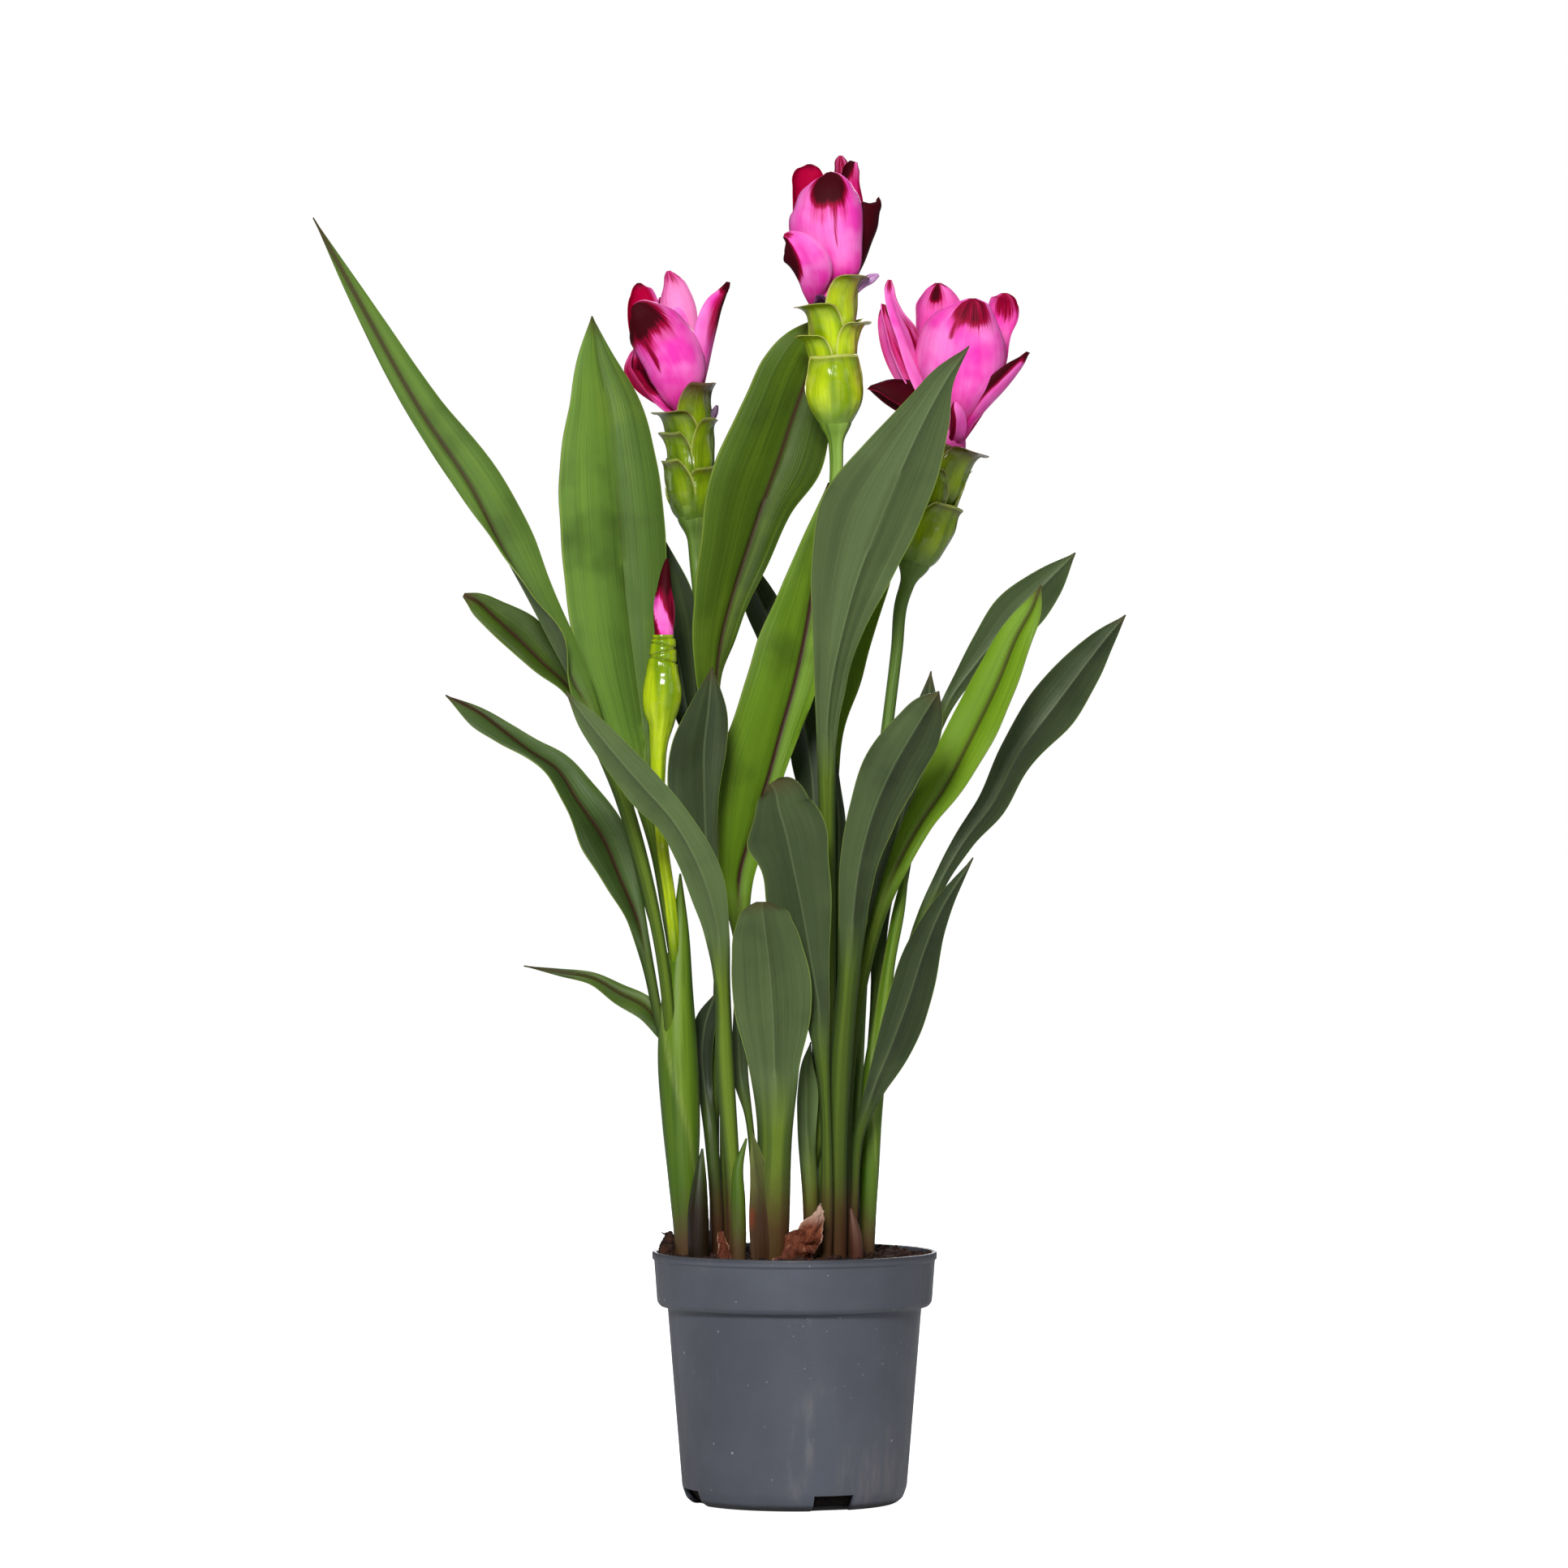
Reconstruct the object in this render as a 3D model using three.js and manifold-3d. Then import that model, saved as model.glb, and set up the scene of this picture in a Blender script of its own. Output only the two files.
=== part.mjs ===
// Potted siam tulip: a nursery pot of soil, a clump of upright stalked leaves and four flower
// spikes, three open and one in bud. Millimetres, +Z up. The origin is the middle of the pot's
// foot, where it stands. The front of the plant faces -Y.
import * as THREE from "three";
import { mergeVertices } from "three/addons/utils/BufferGeometryUtils.js";
import Module from "manifold-3d";

const wasm = await Module();
wasm.setup();

// Pot
const RIM_DIAMETER = 140;
const LIP_DIAMETER = 142;
const POT_HEIGHT = 125;
const COLLAR_FOOT_DIAMETER = 137;
const COLLAR_BOTTOM = 98;
const SHOULDER_DIAMETER = 126.6;
const FOOT_DIAMETER = 112;
const POT_WALL = 1.4;
const POT_FLOOR = 2;
const POT_SIDES = 36;
const NOTCH_WIDTH = 20.6;
const NOTCH_HEIGHT = 8;
const NOTCH_TURN = 20.6;
const NOTCH_COUNT = 4;
const DRAIN_DIAMETER = 8;
const DRAIN_CIRCLE = 33;
const DRAIN_COUNT = 6;

// Soil
const SOIL_LEVEL = 122;
const SOIL_BUMP = 1.2;
const SOIL_RINGS = [66.6, 61.5, 45, 28];
const HEAP = { x: -62, y: 0, height: 11, spread: 7 };

// Fits and walls
const GAP = 0.3;
const EDGE_HALF = 0.33;
const BLADE_HALF = 0.42;
const TIP_HALF_WIDTH = 0.6;
const STALK_DEPTH = 0.78;
const BRACT_HALF = 0.4;
const CUP_FILL = 2.5;
const CROWN_CORE = [[-2, 9], [14, 8.5], [26, 4]];

// Fineness
const BEND_LIMIT = 1.6;
const STEM_SIDES = 8;
const HOLE_SIDES = 6;
const CUP_STEPS = 4;
const SLIVER = 0.05;

// Rows of the leaves and stems were read off a front view taken from this eye point. A row's x
// and z are where it shows against the plane y = 0, and its y is its true depth.
const EYE = { x: -5, y: -3500, z: 355 };

// Colours
const PAINT = {
  pot: { color: 0x565c66, roughness: 0.55 },
  soil: { color: 0x33211b, roughness: 0.95 },
  upper: { color: 0x4f7a26, roughness: 0.45 },
  under: { color: 0x48603c, roughness: 0.5 },
  stalk: { color: 0x6c8f2e, roughness: 0.45 },
  shootPurple: { color: 0x4f3430, roughness: 0.5 },
  bract: { color: 0x8fb01c, roughness: 0.3 },
  coma: { color: 0xe84fb2, roughness: 0.4 },
  sheath: { color: 0x8a4a2c, roughness: 0.8 },
};

// Leaves, from the foot of the stalk to the tip. A row is
// [x, y, z, left half width, right half width, left margin back, right margin back],
// and the last two are how far each margin lies behind the midrib. shows is the face that the
// front view sees, stalk is how many rows are stalk, lean is how much farther back the tip is
// than the rows say, and trim names the stem that the foot of the leaf springs from.
const LEAVES = {
  leaf_left_long: {
    shows: "upper", stalk: 5, lean: -18, turn: -16, trim: "shoot_left", rows: [
      [-58, -9, 242, 3, 3],
      [-66, -10, 277, 3, 3],
      [-74, -10, 310, 3.5, 3.5],
      [-86, -10, 352, 4, 4],
      [-99, -9, 386, 5, 5],
      [-110, -10, 407, 2.5, 9, -5, 6],
      [-120, -10, 426, -6.5, 11.5, -10, 8],
      [-133, -10, 451, -3, 13, -8, 8],
      [-145, -10, 473, 1, 17, -5, 9],
      [-161, -11, 505, 6.5, 16, -4, 7],
      [-186, -12, 543, 6.5, 11.5, -3, 5],
      [-218, -14, 600, 4, 5, -1, 2],
      [-240, -15, 640, 0, 0],
    ],
  },
  leaf_left_upright: {
    shows: "upper", stalk: 4, lean: 8, turn: 26, trim: "shoot_left", rows: [
      [-56, 6, 250, 3, 3],
      [-63, 10, 291, 3, 3],
      [-69, 12, 324, 3, 3],
      [-74, 14, 358, 9, 5, -1, -1],
      [-76, 16, 386, 19, 9, -4, -2],
      [-80, 17, 417, 26.5, 14, -6, -4],
      [-84, 18, 449, 28.5, 20, -6, -5],
      [-87, 18, 486, 29.5, 22.5, -6, -5],
      [-90, 18, 518, 26.5, 21, -5, -4],
      [-93, 18, 546, 20, 16.5, -4, -3],
      [-98, 18, 570, 10.5, 8, -2, -2],
      [-101, 18, 591, 0, 0],
    ],
  },
  leaf_left_front: {
    shows: "under", stalk: 4, lean: -50, turn: -24, rows: [
      [-30, -22, 104, 3.5, 3.5],
      [-30, -22, 142, 3.5, 3.5],
      [-35, -24, 223, 4.5, 4.5],
      [-36, -26, 257, 4, 4],
      [-38, -29, 283, 6.5, 5.5, 3, 2],
      [-45, -32, 310, 9.5, 9.5, 5, 4],
      [-61, -35, 340, 8, 8.5, 5, 4],
      [-76, -37, 357, 9.5, 9, 4, 4],
      [-89, -39, 372, 8, 8, 4, 3],
      [-102, -40, 388, 5.5, 5.5, 2, 2],
      [-114, -41, 404, 0, 0],
    ],
  },
  leaf_left_small: {
    shows: "upper", stalk: 4, lean: 14, turn: 20, trim: "shoot_left", small: true, rows: [
      [-56, 0, 250, 1.5, 1.5],
      [-69, 3, 283, 1.5, 1.5],
      [-86, 4, 344, 1.5, 1.5],
      [-104, 4, 392, 2.5, 2.5],
      [-114, 4, 407, 3.5, 5.5, -2, -3],
      [-126, 5, 418, 5.5, 11.5, -3, -5],
      [-137, 6, 429, 6, 14, -3, -5],
      [-149, 7, 440, 6.5, 10, -2, -4],
      [-159, 7, 449, 5, 4.5, -1, -2],
      [-165, 7, 452, 1, 1],
    ],
  },
  leaf_left_twisted: {
    shows: "upper", stalk: 3, lean: 25, turn: 18, trim: "shoot_left", rows: [
      [-58, 2, 208, 2.5, 2.5],
      [-67, 3, 238, 2.5, 2.5],
      [-73, 5, 267, 3, 3],
      [-79, 7, 291, 5, 5, -2, -2],
      [-87, 9, 310, 7.5, 10.5, -4, -4],
      [-96, 11, 331, 11, 13, -5, -5],
      [-109, 12, 350, 6.5, 12, -5, -4],
      [-119, 12, 365, 5, 9, -6, -3],
      [-131, 12, 373, 2.5, 7.5, -4, -3],
      [-144, 12, 383, 6, 5.5, -3, -2],
      [-157, 12, 393, 7.5, 3, -2, -1],
      [-174, 12, 402, 0, 0],
    ],
  },
  leaf_left_lowest: {
    shows: "upper", stalk: 1, lean: 16, turn: 20, trim: "shoot_left", small: true, rows: [
      [-57, 4, 222, 2, 2],
      [-66, 9, 235, 4, 4],
      [-74, 10, 246, 6, 5.5, -2, -2],
      [-87, 10, 253, 5.5, 5, -2, -1],
      [-101, 10, 261, 3, 3, -1, -1],
      [-117, 10, 264, 2, 1.5],
      [-135, 10, 267, 0, 0],
    ],
  },
  leaf_left_inner: {
    shows: "under", stalk: 3, lean: 4, turn: -20, small: true, rows: [
      [-39, 3, 104, 2.5, 2.5],
      [-39, 3, 142, 3, 3],
      [-42, 7, 186, 3.5, 3.5],
      [-45, 11, 208, 3.5, 4, 1, 1],
      [-46, 11, 227, 5, 5.5, 2, 1],
      [-44, 10, 240, 5, 5, 1, 1],
      [-39, 9, 254, 0, 0],
    ],
  },
  leaf_middle_upright: {
    shows: "upper", stalk: 4, lean: 5, turn: 20, rows: [
      [-33, 12, 104, 3, 3],
      [-34, 12, 142, 3, 3],
      [-35, 15, 223, 2.5, 2.5],
      [-38, 18, 360, 3, 3],
      [-40, 19, 390, 5, 3, -1, -1],
      [-39, 19, 413, 11, 3, -4, -1],
      [-37, 19, 429, 14, 7, -6, -2],
      [-32, 19, 449, 18, 9, -7, -3],
      [-25, 19, 471, 23, 12.5, -7, -4],
      [-16, 18, 498, 28.5, 15.5, -6, -3],
      [-8, 18, 520, 28, 22, -5, -4],
      [-1, 18, 541, 25.5, 20, -3, -3],
      [7, 18, 563, 23, 15, -1, -2],
      [13, 18, 580, 14, 8],
      [17, 18, 592, 0, 0],
    ],
  },
  leaf_middle_bright: {
    shows: "upper", stalk: 4, lean: 28, turn: 16, rows: [
      [-12, 2, 104, 3.5, 3.5],
      [-12, 2, 142, 3.5, 3.5],
      [-17, 4, 206, 3.5, 3.5],
      [-27, 5, 285, 4.5, 4.5],
      [-28, 5, 310, 9.5, 7.5, -2, -2],
      [-21, 5, 336, 18, 8.5, -4, -2],
      [-13, 5, 362, 25.5, 7.5, -5, -2],
      [-7, 5, 384, 24.5, 9.5, -5, -2],
      [-1, 5, 405, 23.5, 11.5, -5, -3],
      [4, 5, 427, 22, 12.5, -4, -3],
      [8, 5, 449, 17, 11.5, -3, -2],
      [11, 5, 469, 11.5, 9, -2, -2],
      [17, 5, 508, 0, 0],
    ],
  },
  leaf_middle_dark: {
    shows: "under", stalk: 3, lean: -8, turn: -22, rows: [
      [-31, -11, 104, 2.5, 2.5],
      [-32, -12, 162, 2.5, 2.5],
      [-36, -14, 271, 2.5, 2.5],
      [-40, -15, 303, 4, 3, 1, 1],
      [-44, -15, 330, 10.5, 5.5, 2, 1],
      [-45, -15, 354, 18, 7.5, 4, 2],
      [-45, -15, 376, 16, 11, 4, 3],
      [-43, -15, 394, 10.5, 9.5, 2, 2],
      [-41, -15, 416, 0, 0],
    ],
  },
  leaf_right_broad: {
    shows: "under", stalk: 4, lean: -45, turn: 24, rows: [
      [17, -5, 104, 4, 4],
      [17, -6, 142, 4, 4],
      [17, -12, 271, 3.5, 3.5],
      [16, -16, 360, 4.5, 4.5],
      [16, -17, 384, 5, 5, 1, 1],
      [18, -18, 405, 8, 7, 3, 2],
      [24, -20, 434, 15.5, 9.5, 5, 3],
      [31, -21, 459, 23.5, 14.5, 6, 4],
      [42, -22, 488, 30.5, 18.5, 6, 4],
      [55, -22, 519, 21, 17.5, 5, 4],
      [67, -22, 544, 12, 11.5, 3, 3],
      [76, -22, 560, 7.5, 4, 2, 1],
      [87, -22, 576, 0, 0],
    ],
  },
  leaf_right_hidden: {
    shows: "upper", stalk: 3, lean: 38, turn: -28, small: true, rows: [
      [22, 12, 104, 2.5, 2.5],
      [22, 11, 223, 2.5, 2.5],
      [19, 8, 360, 3, 3],
      [20, 8, 384, 4, 4.5],
      [25, 8, 409, 6, 7.5, -1, -1],
      [31, 8, 435, 7.5, 9, -2, -2],
      [38, 8, 459, 7.5, 9.5, -2, -2],
      [45, 8, 483, 4, 5, -1, -1],
      [51, 8, 502, 0, 0],
    ],
  },
  leaf_front_blunt: {
    shows: "under", stalk: 3, lean: -32, turn: -20, rows: [
      [15, -29, 104, 3, 3],
      [16, -29, 150, 3, 3],
      [14, -30, 218, 3.5, 3.5],
      [12, -31, 247, 8, 5.5, 2, 1],
      [8, -32, 271, 13, 9.5, 4, 3],
      [3, -33, 299, 16.5, 15.5, 5, 4],
      [-1, -34, 318, 15.5, 18, 5, 5],
      [-4, -35, 332, 20, 20, 5, 5],
      [-8, -35, 346, 12, 16.5, 3, 4],
      [-10, -35, 355, 6.5, 11, 1, 2],
      [-12, -35, 358, 3, 5],
    ],
  },
  leaf_front_low: {
    shows: "under", stalk: 3, lean: -36, turn: 14, rows: [
      [-13, -38, 104, 9, 9],
      [-12, -38, 142, 9.5, 9.5],
      [-10, -38, 186, 8.5, 9],
      [-10, -39, 216, 12.5, 12.5, 4, 4],
      [-11, -40, 247, 19, 19, 8, 8],
      [-13, -41, 271, 18, 18, 8, 8],
      [-15, -42, 287, 14.5, 14, 6, 6],
      [-16, -42, 296, 8.5, 9, 3, 3],
      [-16, -42, 299, 3, 3, 1, 1],
    ],
  },
  leaf_right_far: {
    shows: "under", stalk: 3, lean: 6, turn: 24, trim: "shoot_right", rows: [
      [38, 3, 204, 2.5, 2.5],
      [49, 7, 237, 3, 3],
      [65, 10, 293, 3.5, 3.5],
      [73, 11, 310, 4, 4, 1, 1],
      [85, 12, 330, 5.5, 5, 2, 2],
      [98, 13, 347, 7.5, 7, 3, 3],
      [111, 14, 372, 9.5, 9, 4, 4],
      [129, 15, 396, 13, 12.5, 4, 4],
      [144, 15, 416, 10.5, 10, 3, 3],
      [154, 15, 429, 6.5, 6, 2, 2],
      [165, 15, 442, 0, 0],
    ],
  },
  leaf_right_back: {
    shows: "under", stalk: 3, lean: 24, turn: 26, trim: "shoot_right", rows: [
      [53, 3, 300, 2, 2],
      [59, 16, 336, 2.5, 2.5],
      [70, 21, 384, 3, 3],
      [78, 21, 401, 3.5, 3.5, 1, 1],
      [89, 21, 416, 7, 5.5, 2, 2],
      [97, 22, 426, 9.5, 8, 3, 3],
      [110, 22, 442, 12, 12, 3, 3],
      [126, 22, 459, 7.5, 9.5, 2, 2],
      [140, 22, 473, 0, 0],
    ],
  },
  leaf_right_bright: {
    shows: "upper", stalk: 5, lean: -8, turn: -26, rows: [
      [26, -11, 104, 3, 3],
      [25, -11, 142, 3, 3],
      [26, -11, 202, 3, 3],
      [34, -12, 263, 3.5, 3.5],
      [42, -12, 293, 4, 4],
      [52, -12, 318, 5.5, 5, -1, -1],
      [63, -12, 338, 9, 5.5, -3, -1],
      [74, -12, 354, 12.5, 7.5, -4, -2],
      [89, -12, 382, 13.5, 9.5, -4, -3],
      [102, -13, 409, 12.5, 9, -3, -3],
      [111, -13, 431, 9, 7.5, -2, -2],
      [119, -13, 446, 5, 4, -1, -1],
      [123, -13, 457, 0, 0],
    ],
  },
  leaf_right_dark: {
    shows: "under", stalk: 4, lean: -48, turn: 22, rows: [
      [21, -20, 104, 5, 5],
      [21, -20, 142, 5, 5],
      [23, -22, 218, 5.5, 5.5],
      [27, -24, 263, 5.5, 5.5],
      [29, -25, 291, 7, 7, 2, 2],
      [32, -26, 316, 9.5, 9, 3, 3],
      [39, -27, 343, 12, 12, 4, 4],
      [49, -28, 366, 14.5, 14.5, 5, 5],
      [60, -29, 385, 11, 13.5, 4, 4],
      [68, -29, 398, 6, 6.5, 2, 2],
      [72, -29, 404, 0, 0],
    ],
  },
  leaf_right_shade: {
    shows: "under", stalk: 3, lean: 4, turn: 0, small: true, rows: [
      [31, 10, 104, 2.5, 2.5],
      [33, 10, 162, 2.5, 2.5],
      [41, 8, 259, 3, 3],
      [45, 5.5, 303, 8, 4.5, 2],
      [51, 5, 332, 10, 7.5, 3],
      [58, 4, 358, 11.5, 9.5, 3],
      [64, 4, 382, 9.5, 8, 3],
      [67, 4, 400, 5, 4, 1],
      [68, 4, 414, 0, 0],
    ],
  },
  leaf_right_low: {
    shows: "under", stalk: 3, lean: -30, turn: 24, rows: [
      [30, -16, 104, 2, 2],
      [30, -16, 154, 2, 2],
      [33, -17, 187, 3, 3],
      [39, -18, 205, 4, 5.5, 1, 1],
      [48, -19, 227, 7.5, 11, 3, 3],
      [57, -20, 251, 10, 11, 4, 4],
      [64, -21, 273, 9.5, 8.5, 3, 3],
      [72, -22, 293, 6, 5.5, 2, 2],
      [89, -24, 321, 0, 0],
    ],
  },
  leaf_back_left: {
    shows: "under", stalk: 3, lean: 26, turn: 24, small: true, rows: [
      [-40, 17, 104, 2.5, 2.5],
      [-40, 17, 182, 2.5, 2.5],
      [-43, 17, 344, 2.5, 2.5],
      [-49, 18, 374, 3.5, 3.5, 1, 1],
      [-54, 19, 397, 7.5, 8, 1, 2],
      [-59, 20, 425, 14, 13, 2, 3],
      [-64, 20, 449, 15.5, 14, 2, 3],
      [-68, 20, 469, 14, 8.5, 2, 2],
      [-75, 20, 497, 0, 0],
    ],
  },
  leaf_back_middle: {
    shows: "under", stalk: 3, lean: 40, turn: -24, small: true, rows: [
      [10, 38, 104, 2.5, 2.5],
      [11, 38, 223, 2.5, 2.5],
      [10, 36, 320, 3, 3],
      [10, 36, 342, 5, 5, 1, 1],
      [8, 36, 368, 9, 9, 2, 2],
      [3, 36, 397, 10, 9.5, 2, 2],
      [-6, 36, 425, 9.5, 9.5, 2, 2],
      [-17, 36, 449, 9, 8.5, 2, 2],
      [-35, 36, 485, 0, 0],
    ],
  },
  leaf_small_left: {
    shows: "under", stalk: 3, lean: 0, turn: -15, small: true, rows: [
      [-20, -17, 104, 2, 2],
      [-20, -17, 162, 2, 2],
      [-23, -17, 193, 2, 2],
      [-27, -17, 212, 3.5, 4, 1, 1],
      [-28, -17, 231, 3, 4, 1, 1],
      [-30, -17, 250, 0, 0],
    ],
  },
  leaf_small_right: {
    shows: "under", stalk: 3, lean: 0, turn: 15, small: true, rows: [
      [8, -1, 104, 2, 2],
      [9, -2, 162, 2, 2],
      [13, -3, 190, 2.5, 2.5],
      [14, -3, 212, 3, 3, 1, 1],
      [13, -3, 231, 3.5, 3.5, 1, 1],
      [10, -3, 247, 0, 0],
    ],
  },
  leaf_small_shade: {
    shows: "under", stalk: 3, lean: 8, turn: 15, small: true, rows: [
      [22, 4, 104, 2, 2],
      [23, 4, 223, 2, 2],
      [22, 3, 295, 2.5, 2.5],
      [22, 3, 320, 3, 3, 1, 1],
      [22, 3, 339, 3.5, 3.5, 1, 1],
      [20, 3, 360, 2, 2.5],
      [19, 3, 380, 0, 0],
    ],
  },
  leaf_young: {
    shows: "under", stalk: 2, lean: -4, turn: 15, small: true, rows: [
      [8, -14, 104, 3.5, 3.5],
      [8, -14, 150, 4, 4],
      [6, -14, 186, 4.5, 4.5, 1, 1],
      [6, -14, 204, 4.5, 5.5, 1, 1],
      [6, -14, 218, 2.5, 3, 1, 1],
      [8, -14, 229, 0, 0],
    ],
  },
};

// Round stems and shoots, as rows of [x, y, z, radius] from the foot up
const STEMS = {
  shoot_left: { paint: "stalk", rows: [
    [-54, -5, 104, 5], [-54, -5, 123, 5.5], [-55.5, -4, 162, 7.6], [-56.5, -3, 190, 9.4],
    [-58, -2, 223, 9.8], [-58, -1, 255, 7.4], [-57, 0, 283, 4.5], [-57, 1, 313, 0.5],
  ] },
  shoot_right: { paint: "stalk", rows: [
    [36, 0, 104, 3], [36, 0, 125, 3.5], [37, 0, 162, 5], [38, 0, 190, 5.5], [40, 0, 214, 5.5],
    [44, 0, 243, 4], [47, 0, 267, 3], [52, 1, 295, 3], [57, 2, 322, 0.5],
  ] },
  shoot_purple: { paint: "shootPurple", rows: [
    [-48, -20, 104, 4.5], [-48, -20, 123, 5], [-48, -20, 146, 5], [-47, -20, 163, 3],
    [-46, -20, 176, 0.5],
  ] },
  shoot_brown: { paint: "sheath", rows: [
    [31, -28, 112, 2.6], [31, -28, 124, 3], [30, -28, 135, 2.6], [28, -28, 146, 0.6],
  ] },
  shoot_green: { paint: "stalk", rows: [
    [-28, -31, 104, 3], [-28, -31, 125, 3.5], [-28, -31, 150, 3.5], [-28, -31, 166, 2.5],
    [-24, -31, 181, 0.5],
  ] },
};

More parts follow.
